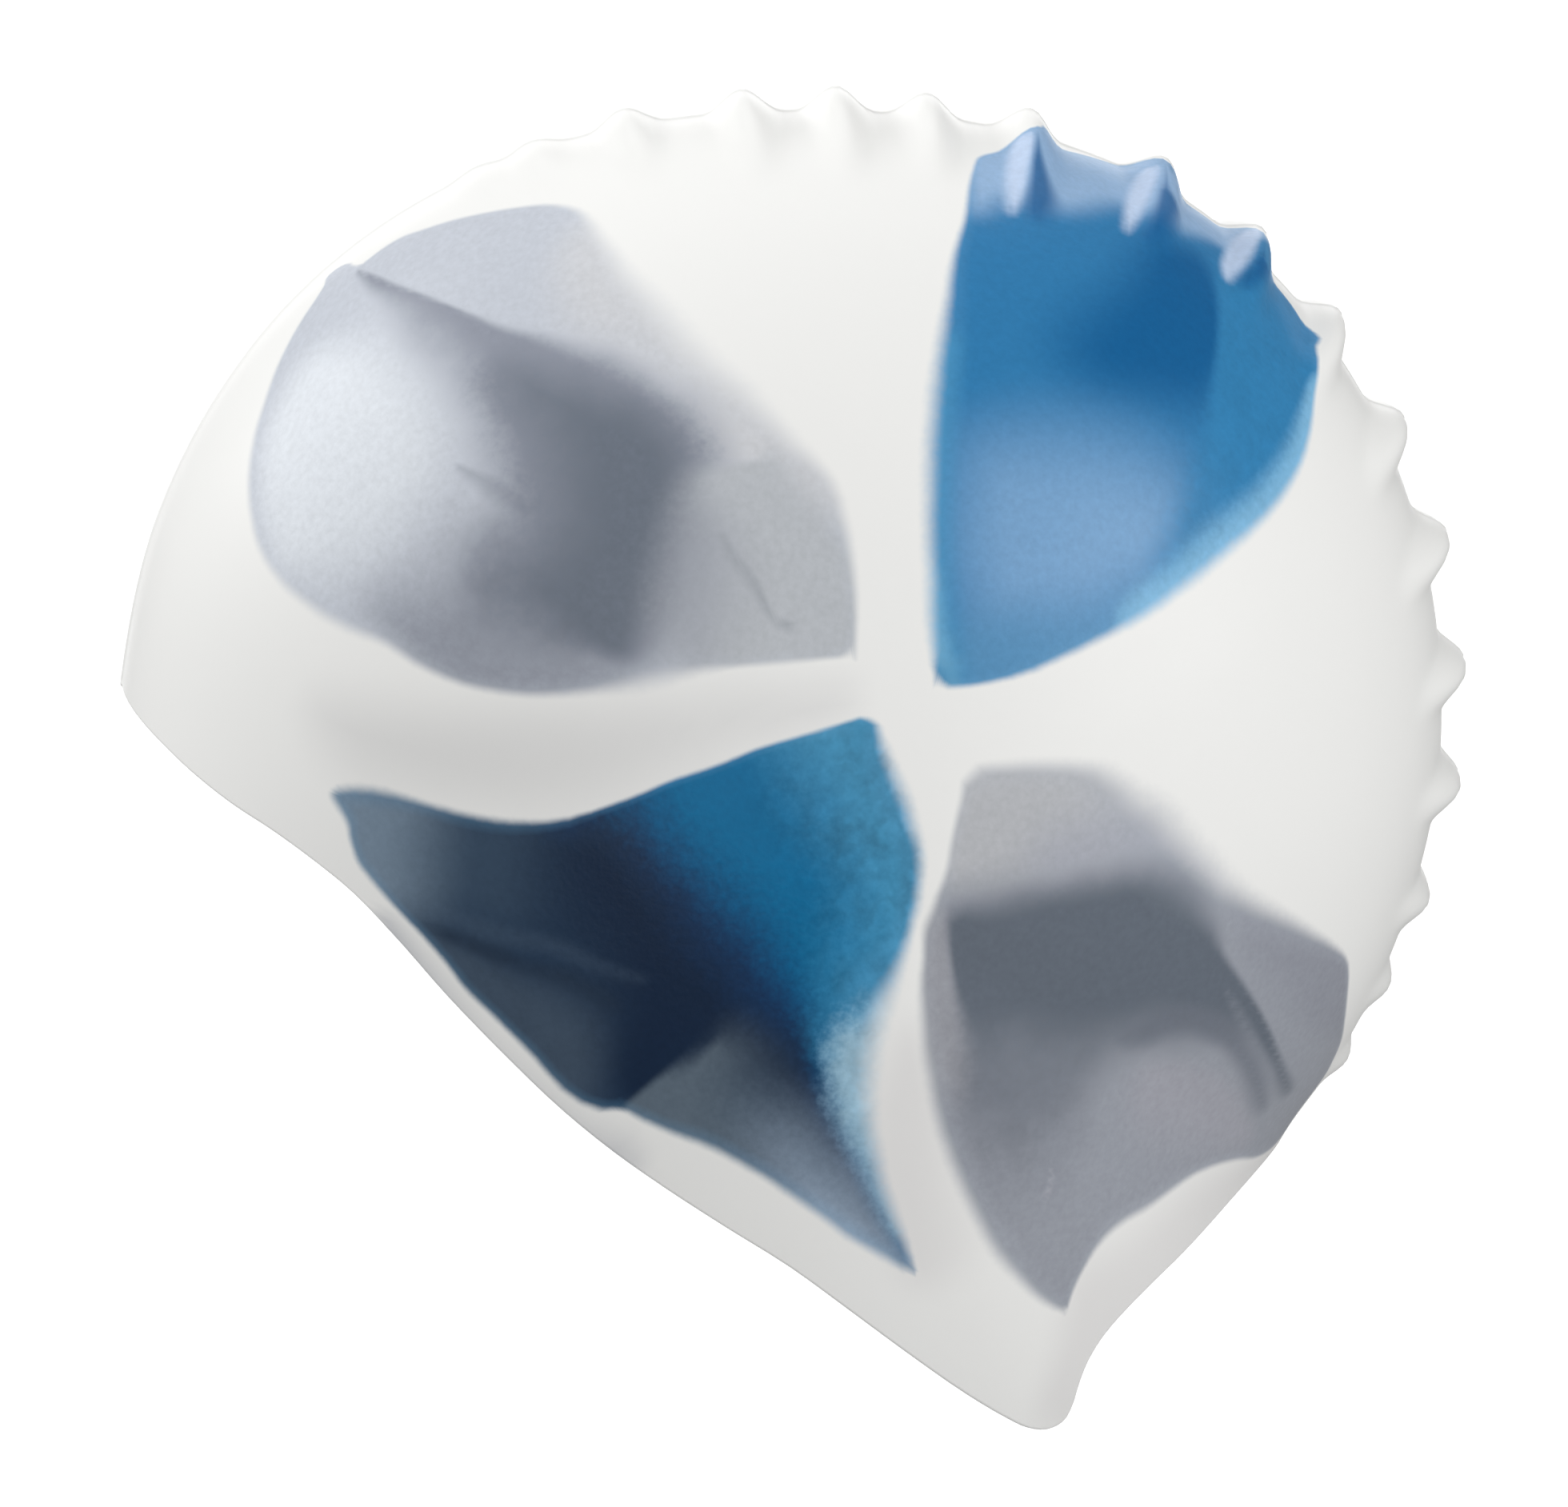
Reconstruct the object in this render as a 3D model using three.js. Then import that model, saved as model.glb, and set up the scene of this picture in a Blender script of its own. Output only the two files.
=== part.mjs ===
import * as THREE from "three";

// One-piece moulded silicone swim cap, in the form that a head gives it. Millimetres. -X forehead,
// +X nape, +Z crown, -Y the wearer's left. Each side is a fan of curves from its middle out to the crown
// line, cut off along the edge that runs from the forehead over the ear flap to the nape.

const halfLength = 100; // hub to forehead and to the back of the head, before the shares below
const crownHeight = 96; // hub to the top of the crown
const halfWidth = 75; // hub to the middle of a side
const wall = 1.0;
const ribRise = 4.0; // how far a full rib stands out
const ribRun = 6.2; // half a rib's foot, along the crown line
const ribDrop = 19; // how far a rib runs down each side
const edgeStep = 9; // spacing of the columns along the edge

// Crown line and the closed form below it. turn: degrees from +X over the top. reach: share of
// halfLength and crownHeight. pinch: how much the sides close in towards the crown line.
const crownRows = [
  { turn: -42, reach: 0.956, pinch: 0.11 },
  { turn: -33, reach: 0.944, pinch: 0.12 },
  { turn: -24, reach: 0.94, pinch: 0.12 },
  { turn: -14, reach: 0.94, pinch: 0.13 },
  { turn: -4, reach: 0.945, pinch: 0.13 },
  { turn: 7, reach: 0.951, pinch: 0.13 },
  { turn: 18, reach: 0.963, pinch: 0.12 },
  { turn: 29, reach: 0.977, pinch: 0.1 },
  { turn: 40, reach: 0.992, pinch: 0.09 },
  { turn: 50, reach: 1.005, pinch: 0.08 },
  { turn: 58, reach: 1.012, pinch: 0.07 },
  { turn: 66, reach: 1.009, pinch: 0.06 },
  { turn: 75, reach: 1.002, pinch: 0.05 },
  { turn: 84, reach: 0.996, pinch: 0.04 },
  { turn: 93, reach: 0.997, pinch: 0.03 },
  { turn: 102, reach: 1.008, pinch: 0.03 },
  { turn: 111, reach: 1.022, pinch: 0.02 },
  { turn: 119, reach: 1.033, pinch: 0.02 },
  { turn: 127, reach: 1.041, pinch: 0.02 },
  { turn: 136, reach: 1.044, pinch: 0.01 },
  { turn: 146, reach: 1.04, pinch: 0.01 },
  { turn: 158, reach: 1.033, pinch: 0.01 },
  { turn: 172, reach: 1.024, pinch: 0 },
  { turn: 184, reach: 1.036, pinch: 0 },
  { turn: 196, reach: 1.069, pinch: 0 },
  { turn: 212, reach: 1.15, pinch: 0 },
  { turn: 230, reach: 1.282, pinch: 0 },
  { turn: 250, reach: 1.427, pinch: 0.01 },
  { turn: 268, reach: 1.505, pinch: 0.02 },
  { turn: 284, reach: 1.432, pinch: 0.05 },
  { turn: 298, reach: 1.218, pinch: 0.07 },
  { turn: 310, reach: 1.024, pinch: 0.1 },
];

// The edge seen from the side. back: share of halfLength, up: share of crownHeight. The first and last
// rows give the direction of the two places where it meets the crown line, forehead and nape.
const edgeRows = [
  { back: -1.016, up: 0.126 },
  { back: -0.997, up: 0.115 },
  { back: -0.97, up: 0.1 },
  { back: -0.925, up: 0.073 },
  { back: -0.873, up: 0.045 },
  { back: -0.819, up: 0.02 },
  { back: -0.765, up: -0.012 },
  { back: -0.709, up: -0.053 },
  { back: -0.646, up: -0.118 },
  { back: -0.58, up: -0.195 },
  { back: -0.504, up: -0.277 },
  { back: -0.427, up: -0.356 },
  { back: -0.353, up: -0.422 },
  { back: -0.279, up: -0.48 },
  { back: -0.188, up: -0.547 },
  { back: -0.096, up: -0.614 },
  { back: -0.007, up: -0.692 },
  { back: 0.083, up: -0.775 },
  { back: 0.171, up: -0.856 },
  { back: 0.237, up: -0.912 },
  { back: 0.27, up: -0.936 },
  { back: 0.3, up: -0.946 },
  { back: 0.322, up: -0.938 },
  { back: 0.334, up: -0.912 },
  { back: 0.341, up: -0.879 },
  { back: 0.353, up: -0.839 },
  { back: 0.375, up: -0.8 },
  { back: 0.41, up: -0.763 },
  { back: 0.457, up: -0.728 },
  { back: 0.51, up: -0.699 },
  { back: 0.56, up: -0.673 },
  { back: 0.606, up: -0.65 },
  { back: 0.65, up: -0.631 },
  { back: 0.69, up: -0.619 },
  { back: 0.731, up: -0.615 },
];

// One row for each rib, front to back. rise: share of ribRise.
const ribRows = [
  { turn: 117.9, rise: 0.2 },
  { turn: 113.1, rise: 0.35 },
  { turn: 105.3, rise: 0.65 },
  { turn: 95.6, rise: 0.85 },
  { turn: 87.8, rise: 0.9 },
  { turn: 80.2, rise: 0.85 },
  { turn: 71.6, rise: 0.95 },
  { turn: 59.9, rise: 1 },
  { turn: 50, rise: 0.95 },
  { turn: 40.3, rise: 1 },
  { turn: 29.5, rise: 1 },
  { turn: 18.4, rise: 1.05 },
  { turn: 6.6, rise: 1 },
  { turn: -4.4, rise: 0.95 },
  { turn: -15.6, rise: 0.8 },
  { turn: -24.4, rise: 0.6 },
  { turn: -32.4, rise: 0.55 },
];

// Rings from the middle of a side out to the crown line and the edge. share: how far out. keep: every
// column, every second or every fourth.
const ringRows = [
  { share: 0.12, keep: 4 },
  { share: 0.26, keep: 4 },
  { share: 0.4, keep: 4 },
  { share: 0.52, keep: 2 },
  { share: 0.63, keep: 2 },
  { share: 0.73, keep: 2 },
  { share: 0.81, keep: 2 },
  { share: 0.87, keep: 1 },
  { share: 0.915, keep: 1 },
  { share: 0.95, keep: 1 },
  { share: 0.978, keep: 1 },
  { share: 1, keep: 1 },
];

const radians = Math.PI / 180;

// Smooth value of one column of crownRows at any turn, round the full circle.
function crownValue(key, turn) {
  const count = crownRows.length;
  const first = crownRows[0].turn;
  const at = first + ((((turn - first) % 360) + 360) % 360);
  const row = (i) => {
    const wrapped = crownRows[(i + count) % count];
    return { turn: wrapped.turn + 360 * Math.floor(i / count), value: wrapped[key] };
  };
  let i = 0;
  while (i < count - 1 && row(i + 1).turn <= at) i++;
  const [a, b, c, d] = [row(i - 1), row(i), row(i + 1), row(i + 2)];
  const span = c.turn - b.turn;
  const slopeB = ((c.value - a.value) / (c.turn - a.turn)) * span;
  const slopeC = ((d.value - b.value) / (d.turn - b.turn)) * span;
  const t = (at - b.turn) / span;
  const t2 = t * t;
  const t3 = t2 * t;
  const ends = (2 * t3 - 3 * t2 + 1) * b.value + (3 * t2 - 2 * t3) * c.value;
  return ends + (t3 - 2 * t2 + t) * slopeB + (t3 - t2) * slopeC;
}

// A point of the smooth form: tilt runs from 0 in the middle of the side to 90 degrees on the crown line.
function smoothPoint(turn, tilt) {
  const rise = Math.sin(tilt);
  const reach = crownValue("reach", turn) * rise;
  const y = -halfWidth * Math.cos(tilt) * (1 - crownValue("pinch", turn) * rise * rise);
  const x = reach * halfLength * Math.cos(turn * radians);
  return new THREE.Vector3(x, y, reach * crownHeight * Math.sin(turn * radians));
}

// Outward direction of the smooth form, from two short steps along it.
function outward(turn, tilt) {
  if (tilt < 1e-6) return new THREE.Vector3(0, -1, 0);
  const step = 1e-3;
  const alongTurn = smoothPoint(turn + 0.05, tilt).sub(smoothPoint(turn - 0.05, tilt));
  const alongTilt = smoothPoint(turn, tilt + step).sub(smoothPoint(turn, tilt - step));
  const normal = alongTilt.cross(alongTurn).normalize();
  return tilt > Math.PI / 2 - 1e-6 ? normal.setY(0).normalize() : normal;
}

// Height of the ribs at a place on the form, for ribs with a foot of twice the given run.
function ribHeight(turn, tilt, run) {
  const crown = smoothPoint(turn, Math.PI / 2);
  const down = smoothPoint(turn, tilt).distanceTo(crown) / ribDrop;
  if (down >= 1) return 0;
  let height = 0;
  for (const rib of ribRows) {
    const away = (Math.abs(turn - rib.turn) * radians * crown.length()) / (run * (1 - 0.35 * down));
    if (away < 1) height += rib.rise * (0.5 + 0.5 * Math.cos(Math.PI * away)) ** 1.2;
  }
  return ribRise * height * (1 - down * down * (3 - 2 * down));
}

// Outer face for depth 0, inner face for depth wall. The ribs are pleats: the inner face follows them.
function capPoint(turn, tilt, depth) {
  const lift = ribHeight(turn, tilt, ribRun - 0.8 * depth) - depth;
  return smoothPoint(turn, tilt).addScaledVector(outward(turn, tilt), lift);
}

// Where the edge path meets the crown line, in the direction of one of its end rows.
function edgeEnd(row) {
  const turn = Math.atan2(row.up, row.back) / radians;
  return { turn, point: smoothPoint(turn, Math.PI / 2) };
}

// Columns round one side, from the nape over the crown to the forehead and back along the edge.
function sideColumns() {
  const forehead = edgeEnd(edgeRows[0]);
  const nape = edgeEnd(edgeRows[edgeRows.length - 1]);
  const footTurn = ribRun / (radians * crownHeight);
  const turns = [];
  for (const rib of ribRows) {
    for (const step of [-1, -0.62, -0.3, 0, 0.3, 0.62, 1]) turns.push(rib.turn + step * footTurn);
  }
  turns.sort((a, b) => a - b);
  const lastRib = turns[turns.length - 1];
  const plain = Math.max(2, Math.round((forehead.turn - lastRib) / 4.2));
  for (let i = 1; i < plain; i++) turns.push(lastRib + ((forehead.turn - lastRib) * i) / plain);
  const columns = [{ turn: nape.turn, tilt: Math.PI / 2 }];
  for (const turn of turns) {
    const clear = turn - columns[columns.length - 1].turn > 0.8 && forehead.turn - turn > 0.8;
    if (clear) columns.push({ turn, tilt: Math.PI / 2 });
  }
  columns.push({ turn: forehead.turn, tilt: Math.PI / 2 });
  const crownCount = columns.length;

  const middle = edgeRows.slice(1, -1);
  const path = middle.map((row) => new THREE.Vector3(row.back * halfLength, 0, row.up * crownHeight));
  const edge = new THREE.CatmullRomCurve3([forehead.point, ...path, nape.point], false, "centripetal");
  const edgeColumns = Math.round(edge.getLength() / edgeStep) * 2;
  for (let i = 1; i < edgeColumns; i++) {
    const point = edge.getPoint(0.5 - 0.5 * Math.cos((Math.PI * i) / edgeColumns));
    let turn = Math.atan2(point.z / crownHeight, point.x / halfLength) / radians;
    if (turn < 90) turn += 360;
    const reach = Math.hypot(point.x / halfLength, point.z / crownHeight);
    columns.push({ turn, tilt: Math.asin(Math.min(1, reach / crownValue("reach", turn))) });
  }
  return { columns, crownCount };
}

// Columns crowd at the two ends of the edge. Inner rings use this evened copy of them.
function spreadColumns(columns) {
  const count = columns.length;
  let spread = columns;
  for (let pass = 0; pass < 12; pass++) {
    spread = spread.map((column, i) => {
      const before = spread[(i + count - 1) % count];
      const after = spread[(i + 1) % count];
      const turnBefore = before.turn - (i === 0 ? 360 : 0);
      const turnAfter = after.turn + (i === count - 1 ? 360 : 0);
      return {
        turn: (turnBefore + 2 * column.turn + turnAfter) / 4,
        tilt: (before.tilt + 2 * column.tilt + after.tilt) / 4,
      };
    });
  }
  return spread;
}

function buildShell() {
  const { columns, crownCount } = sideColumns();
  const spread = spreadColumns(columns);
  const positions = [];
  const triangles = [];
  const add = (point, side) => positions.push(point.x, point.y * side, point.z) / 3 - 1;
  const boundary = {};

  for (const depth of [0, wall]) {
    const crownIds = [];
    for (const side of [1, -1]) {
      const flip = (side === -1) !== (depth > 0);
      const centre = add(capPoint(90, 0, depth), side);
      let previous = null;
      for (const ring of ringRows) {
        const ids = [];
        columns.forEach((column, index) => {
          if (index % ring.keep !== 0) return;
          const onCrown = ring.share === 1 && index < crownCount;
          if (!onCrown || side === 1) {
            const own = ring.share ** 4;
            const turn = own * column.turn + (1 - own) * spread[index].turn;
            const tilt = ring.share * (own * column.tilt + (1 - own) * spread[index].tilt);
            const point = capPoint(turn, tilt, depth);
            if (onCrown) point.setY(0);
            const id = add(point, side);
            if (onCrown) crownIds[index] = id;
            ids.push({ index, id });
          } else ids.push({ index, id: crownIds[index] });
        });
        if (previous) zip(previous, ids, columns.length, flip, triangles);
        else ids.forEach((item, i) => face(triangles, flip, centre, item.id, ids[(i + 1) % ids.length].id));
        previous = ids;
      }
      boundary[depth + "/" + side] = previous.map((item) => item.id);
    }
  }

  // The thin face of the edge, from the forehead round to the nape on each side.
  for (const side of [1, -1]) {
    const outer = boundary["0/" + side];
    const inner = boundary[wall + "/" + side];
    for (let i = crownCount - 1; i < columns.length; i++) {
      const next = (i + 1) % columns.length;
      face(triangles, side === -1, outer[i], inner[i], outer[next]);
      face(triangles, side === -1, outer[next], inner[i], inner[next]);
    }
  }
  return { positions, triangles };
}

function face(triangles, flip, a, b, c) {
  if (flip) triangles.push(a, c, b);
  else triangles.push(a, b, c);
}

// Triangles between two closed rings that keep different columns.
function zip(inside, outside, total, flip, triangles) {
  const place = (ring, i) => ring[i % ring.length].index + total * Math.floor(i / ring.length);
  let a = 0;
  let b = 0;
  while (a < inside.length || b < outside.length) {
    const from = inside[a % inside.length].id;
    const to = outside[b % outside.length].id;
    const outsideNext = b < outside.length && place(outside, b + 1) <= place(inside, a + 1);
    if (outsideNext || a >= inside.length) {
      b++;
      face(triangles, flip, from, to, outside[b % outside.length].id);
    } else {
      a++;
      face(triangles, flip, from, to, inside[a % inside.length].id);
    }
  }
}

const { positions, triangles } = buildShell();
// The origin is the inside of the crown, where the cap sits on the head.
const seatHeight = smoothPoint(90, Math.PI / 2).z - wall;
const geometry = new THREE.BufferGeometry();
geometry.setAttribute("position", new THREE.Float32BufferAttribute(positions, 3));
geometry.setIndex(triangles);
geometry.translate(0, 0, -seatHeight);
geometry.computeVertexNormals();

const silicone = new THREE.MeshStandardMaterial({ color: 0xeeeeea, roughness: 0.45 });
silicone.name = "silicone";
const shell = new THREE.Mesh(geometry, silicone);
shell.name = "cap_shell";

const cap = new THREE.Group();
cap.name = "swim_cap";
cap.add(shell);

export default cap;
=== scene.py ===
import math

import bpy
import numpy as np
from mathutils import Matrix, Vector


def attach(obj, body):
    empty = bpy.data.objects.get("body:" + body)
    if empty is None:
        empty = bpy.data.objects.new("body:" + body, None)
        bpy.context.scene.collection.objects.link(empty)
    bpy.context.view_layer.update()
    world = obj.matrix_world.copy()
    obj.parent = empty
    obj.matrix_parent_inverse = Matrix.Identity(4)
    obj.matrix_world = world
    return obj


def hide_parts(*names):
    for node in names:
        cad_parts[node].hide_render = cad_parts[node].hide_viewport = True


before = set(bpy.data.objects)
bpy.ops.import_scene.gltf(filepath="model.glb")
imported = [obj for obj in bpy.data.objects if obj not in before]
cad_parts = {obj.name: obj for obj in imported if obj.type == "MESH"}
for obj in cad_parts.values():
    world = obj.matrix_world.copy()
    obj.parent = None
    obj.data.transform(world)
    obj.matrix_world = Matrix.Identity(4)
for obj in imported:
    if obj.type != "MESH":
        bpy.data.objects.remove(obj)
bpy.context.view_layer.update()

# The cap in metres: -X forehead, +X nape, +Z crown, -Y the wearer's left, which faces the camera.
# Each side is a fan of curves from its middle, the hub, out to the crown line, cut off along the edge.
cap = dict(
    halfLength=0.100,      # hub to forehead and to the back of the head, before the shares below
    crownHeight=0.096,     # hub to the top of the crown
    halfWidth=0.075,       # hub to the middle of a side
    wall=0.001,
    ribRise=0.004,         # how far a full rib stands out
    ribRun=0.0062,         # half a rib's foot, along the crown line
    ribDrop=0.028,         # how far a rib runs down each side
    ribNarrowing=0.3,      # share of its run that a rib loses on the way down
    partingRise=0.00022,   # mould line along the crown
    partingRun=0.00035,
    crownColumns=360,
    edgeColumns=160,
    outerRings=66,
    innerRings=17,
    rimRows=5,
    ringPull=0.12,         # pulls the outer rings together near the crown line
    partingRings=(0.9945, 0.9975),   # two more for the mould line
)

# Crown line and the closed form below it. turn: degrees from +X over the top. reach: share of
# halfLength and crownHeight. pinch: how much the sides close in towards the crown line.
crownRows = np.array([
    # turn, reach, pinch
    (-42, 0.956, 0.11), (-33, 0.944, 0.12), (-24, 0.940, 0.12), (-14, 0.940, 0.13),
    (-4, 0.945, 0.13), (7, 0.951, 0.13), (18, 0.963, 0.12), (29, 0.977, 0.10),
    (40, 0.992, 0.09), (50, 1.005, 0.08), (58, 1.012, 0.07), (66, 1.009, 0.06),
    (75, 1.002, 0.05), (84, 0.996, 0.04), (93, 0.997, 0.03), (102, 1.008, 0.03),
    (111, 1.022, 0.02), (119, 1.033, 0.02), (127, 1.041, 0.02), (136, 1.044, 0.01),
    (146, 1.040, 0.01), (158, 1.033, 0.01), (172, 1.024, 0.00), (184, 1.036, 0.00),
    (196, 1.069, 0.00), (212, 1.150, 0.00), (230, 1.282, 0.00), (250, 1.427, 0.01),
    (268, 1.505, 0.02), (284, 1.432, 0.05), (298, 1.218, 0.07), (310, 1.024, 0.10),
])

# The edge seen from the side, forehead to nape. back: share of halfLength, up: share of crownHeight.
edgeRows = np.array([
    # back, up
    (-1.016, 0.126), (-0.997, 0.115), (-0.970, 0.100), (-0.925, 0.073), (-0.873, 0.045),
    (-0.819, 0.020), (-0.765, -0.012), (-0.709, -0.053), (-0.646, -0.118), (-0.580, -0.195),
    (-0.504, -0.277), (-0.427, -0.356), (-0.353, -0.422), (-0.279, -0.480), (-0.188, -0.547),
    (-0.096, -0.614), (-0.007, -0.692), (0.083, -0.775), (0.171, -0.856), (0.237, -0.912),
    (0.270, -0.936), (0.300, -0.946), (0.322, -0.938), (0.334, -0.912), (0.341, -0.879),
    (0.353, -0.839), (0.375, -0.800), (0.410, -0.763), (0.457, -0.728), (0.510, -0.699),
    (0.560, -0.673), (0.606, -0.650), (0.650, -0.631), (0.690, -0.619), (0.731, -0.615),
])

# One row for each rib, front to back. rise: share of ribRise.
ribRows = [
    # turn, rise
    (117.9, 0.20), (113.1, 0.35), (105.3, 0.65), (95.6, 0.85), (87.8, 0.90), (80.2, 0.85),
    (71.6, 0.95), (59.9, 1.00), (50.0, 0.95), (40.3, 1.00), (29.5, 1.00), (18.4, 1.05),
    (6.6, 1.00), (-4.4, 0.95), (-15.6, 0.80), (-24.4, 0.60), (-32.4, 0.55),
]


def cubicBetween(t, start, end, slopeStart, slopeEnd):
    ends = (2 * t**3 - 3 * t**2 + 1) * start + (3 * t**2 - 2 * t**3) * end
    return ends + (t**3 - 2 * t**2 + t) * slopeStart + (t**3 - t**2) * slopeEnd


def crownValue(column, turn):
    # Periodic cubic through the rows: each row's slope is the rise over both its neighbours.
    turns = np.concatenate([crownRows[-2:, 0] - 360, crownRows[:, 0], crownRows[:3, 0] + 360])
    values = np.concatenate([crownRows[-2:, column], crownRows[:, column], crownRows[:3, column]])
    at = crownRows[0, 0] + np.mod(turn - crownRows[0, 0], 360)
    i = np.searchsorted(turns, at, side="right") - 1
    span = turns[i + 1] - turns[i]
    slopeBefore = (values[i + 1] - values[i - 1]) / (turns[i + 1] - turns[i - 1]) * span
    slopeAfter = (values[i + 2] - values[i]) / (turns[i + 2] - turns[i]) * span
    return cubicBetween((at - turns[i]) / span, values[i], values[i + 1], slopeBefore, slopeAfter)


def smoothPoint(turn, tilt):
    # Tilt 0 is the hub's side and 90 degrees the crown line. The distance out is the crown line's times
    # sin(tilt), and the width is halfWidth times cos(tilt), less the pinch near the crown line.
    turn, tilt = np.broadcast_arrays(turn, tilt)
    out = np.sin(tilt)
    reach = crownValue(1, turn) * out
    angle = np.radians(turn)
    x = reach * cap["halfLength"] * np.cos(angle)
    y = -cap["halfWidth"] * np.cos(tilt) * (1 - crownValue(2, turn) * out**2)
    z = reach * cap["crownHeight"] * np.sin(angle)
    return np.stack([x, y, z], axis=-1)


def outward(turn, tilt):
    # Cross product of a short step along the tilt and one along the turn.
    alongTurn = smoothPoint(turn + 0.05, tilt) - smoothPoint(turn - 0.05, tilt)
    alongTilt = smoothPoint(turn, tilt + 1e-3) - smoothPoint(turn, tilt - 1e-3)
    normal = np.cross(alongTilt, alongTurn)
    normal[np.broadcast_to(tilt < 1e-6, normal.shape[:-1])] = (0, -1, 0)
    onCrown = np.broadcast_to(tilt > math.pi / 2 - 1e-6, normal.shape[:-1])
    normal[..., 1] = np.where(onCrown, 0, normal[..., 1])
    return normal / np.linalg.norm(normal, axis=-1, keepdims=True)


def ribHeight(turn, tilt, run):
    # A raised cosine across each rib, to the power 1.2, that narrows and fades down the side as
    # 1 - 3f^2 + 2f^3. f is the way down over the rib's own length, to the power 1.4.
    crown = smoothPoint(turn, np.full_like(tilt, math.pi / 2))
    down = np.linalg.norm(smoothPoint(turn, tilt) - crown, axis=-1)
    height = np.zeros_like(down)
    for ribTurn, rise in ribRows:
        faded = np.minimum(down / (cap["ribDrop"] * (0.5 + 0.5 * rise)), 1) ** 1.4
        away = np.radians(np.abs(turn - ribTurn)) * np.linalg.norm(crown, axis=-1)
        away = np.minimum(away / (run * (1 - cap["ribNarrowing"] * faded)), 1)
        across = rise * (0.5 + 0.5 * np.cos(math.pi * away)) ** 1.2
        height += across * (1 - faded**2 * (3 - 2 * faded))
    return cap["ribRise"] * height


def capPoint(turn, tilt, depth):
    # The smooth form moved outwards by the ribs and inwards by depth, and by the mould line on the crown.
    turn, tilt = np.broadcast_arrays(turn, tilt)
    lift = ribHeight(turn, tilt, cap["ribRun"] - 0.8 * depth) - depth
    point = smoothPoint(turn, tilt)
    if depth == 0:
        lift = lift + cap["partingRise"] * np.exp(-((point[..., 1] / cap["partingRun"]) ** 2))
    return point + outward(turn, tilt) * lift[..., None]


hub = Vector((0, 0, cap["wall"] - smoothPoint(np.array(90.0), np.array(math.pi / 2))[2]))

# The photograph's camera. Every pixel value below is in its 1960 by 1884 frame.
photo = dict(
    width=1960, height=1884,
    hubAcross=1010, hubDown=930,    # pixel of the hub
    pixelSize=0.000119,             # metres that a pixel spans at the hub
    azimuth=-6, elevation=15,       # degrees; 0 looks along +Y
    distance=1.3,                   # metres
    sensor=36,                      # millimetres
    clip=(0.05, 60),
)
cameraTurn, cameraRise = math.radians(photo["azimuth"]), math.radians(photo["elevation"])
cameraRight = Vector((math.cos(cameraTurn), math.sin(cameraTurn), 0))
cameraBack = Vector((
    math.sin(cameraTurn) * math.cos(cameraRise),
    -math.cos(cameraTurn) * math.cos(cameraRise),
    math.sin(cameraRise),
))
cameraUp = cameraBack.cross(cameraRight)
pixelsPerUnit = photo["distance"] / photo["pixelSize"]
aim = hub + cameraRight * (photo["width"] / 2 - photo["hubAcross"]) * photo["pixelSize"]
aim -= cameraUp * (photo["height"] / 2 - photo["hubDown"]) * photo["pixelSize"]
cameraPlace = aim + cameraBack * photo["distance"]


def makeCamera():
    data = bpy.data.cameras.new("photoCamera")
    data.sensor_width = photo["sensor"]
    data.lens = photo["sensor"] * pixelsPerUnit / photo["width"]
    data.clip_start, data.clip_end = photo["clip"]
    camera = bpy.data.objects.new("photoCamera", data)
    turned = Matrix((cameraRight, cameraUp, cameraBack)).transposed().to_4x4()
    camera.matrix_world = Matrix.Translation(cameraPlace) @ turned
    bpy.context.collection.objects.link(camera)
    bpy.context.scene.camera = camera


makeCamera()
print("camera placed, lens", round(bpy.context.scene.camera.data.lens, 1))


def toPixels(points):
    # Pinhole: across and down from the frame's middle, by the distance in front of the camera.
    away = points - np.array(cameraPlace)
    depth = -away @ np.array(cameraBack)
    across = photo["width"] / 2 + pixelsPerUnit * (away @ np.array(cameraRight)) / depth
    down = photo["height"] / 2 - pixelsPerUnit * (away @ np.array(cameraUp)) / depth
    return np.stack([across, down], axis=-1)


def edgePath(count):
    # Centripetal Catmull-Rom curve through the edge rows in the side plane, cut into count steps that
    # are shorter near its two ends. Its ends are where the end rows' directions meet the crown line.
    path = edgeRows * (cap["halfLength"], cap["crownHeight"])
    endTurns = np.degrees(np.arctan2(edgeRows[[0, -1], 1], edgeRows[[0, -1], 0]))
    path[[0, -1]] = smoothPoint(endTurns, math.pi / 2)[:, [0, 2]]
    path = np.vstack([2 * path[0] - path[1], path, 2 * path[-1] - path[-2]])
    along = (0.5 - 0.5 * np.cos(math.pi * np.arange(1, count) / count)) * (len(edgeRows) - 1)
    i = np.minimum(along.astype(int), len(edgeRows) - 2)
    t = (along - i)[:, None]
    a, b, c, d = path[i], path[i + 1], path[i + 2], path[i + 3]
    ab, bc, cd = (np.sqrt(np.linalg.norm(q - p, axis=1))[:, None] for p, q in ((a, b), (b, c), (c, d)))
    slopeB = ((b - a) / ab - (c - a) / (ab + bc) + (c - b) / bc) * bc
    slopeC = ((c - b) / bc - (d - b) / (bc + cd) + (d - c) / cd) * bc
    return endTurns, cubicBetween(t, b, c, slopeB, slopeC)


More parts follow.
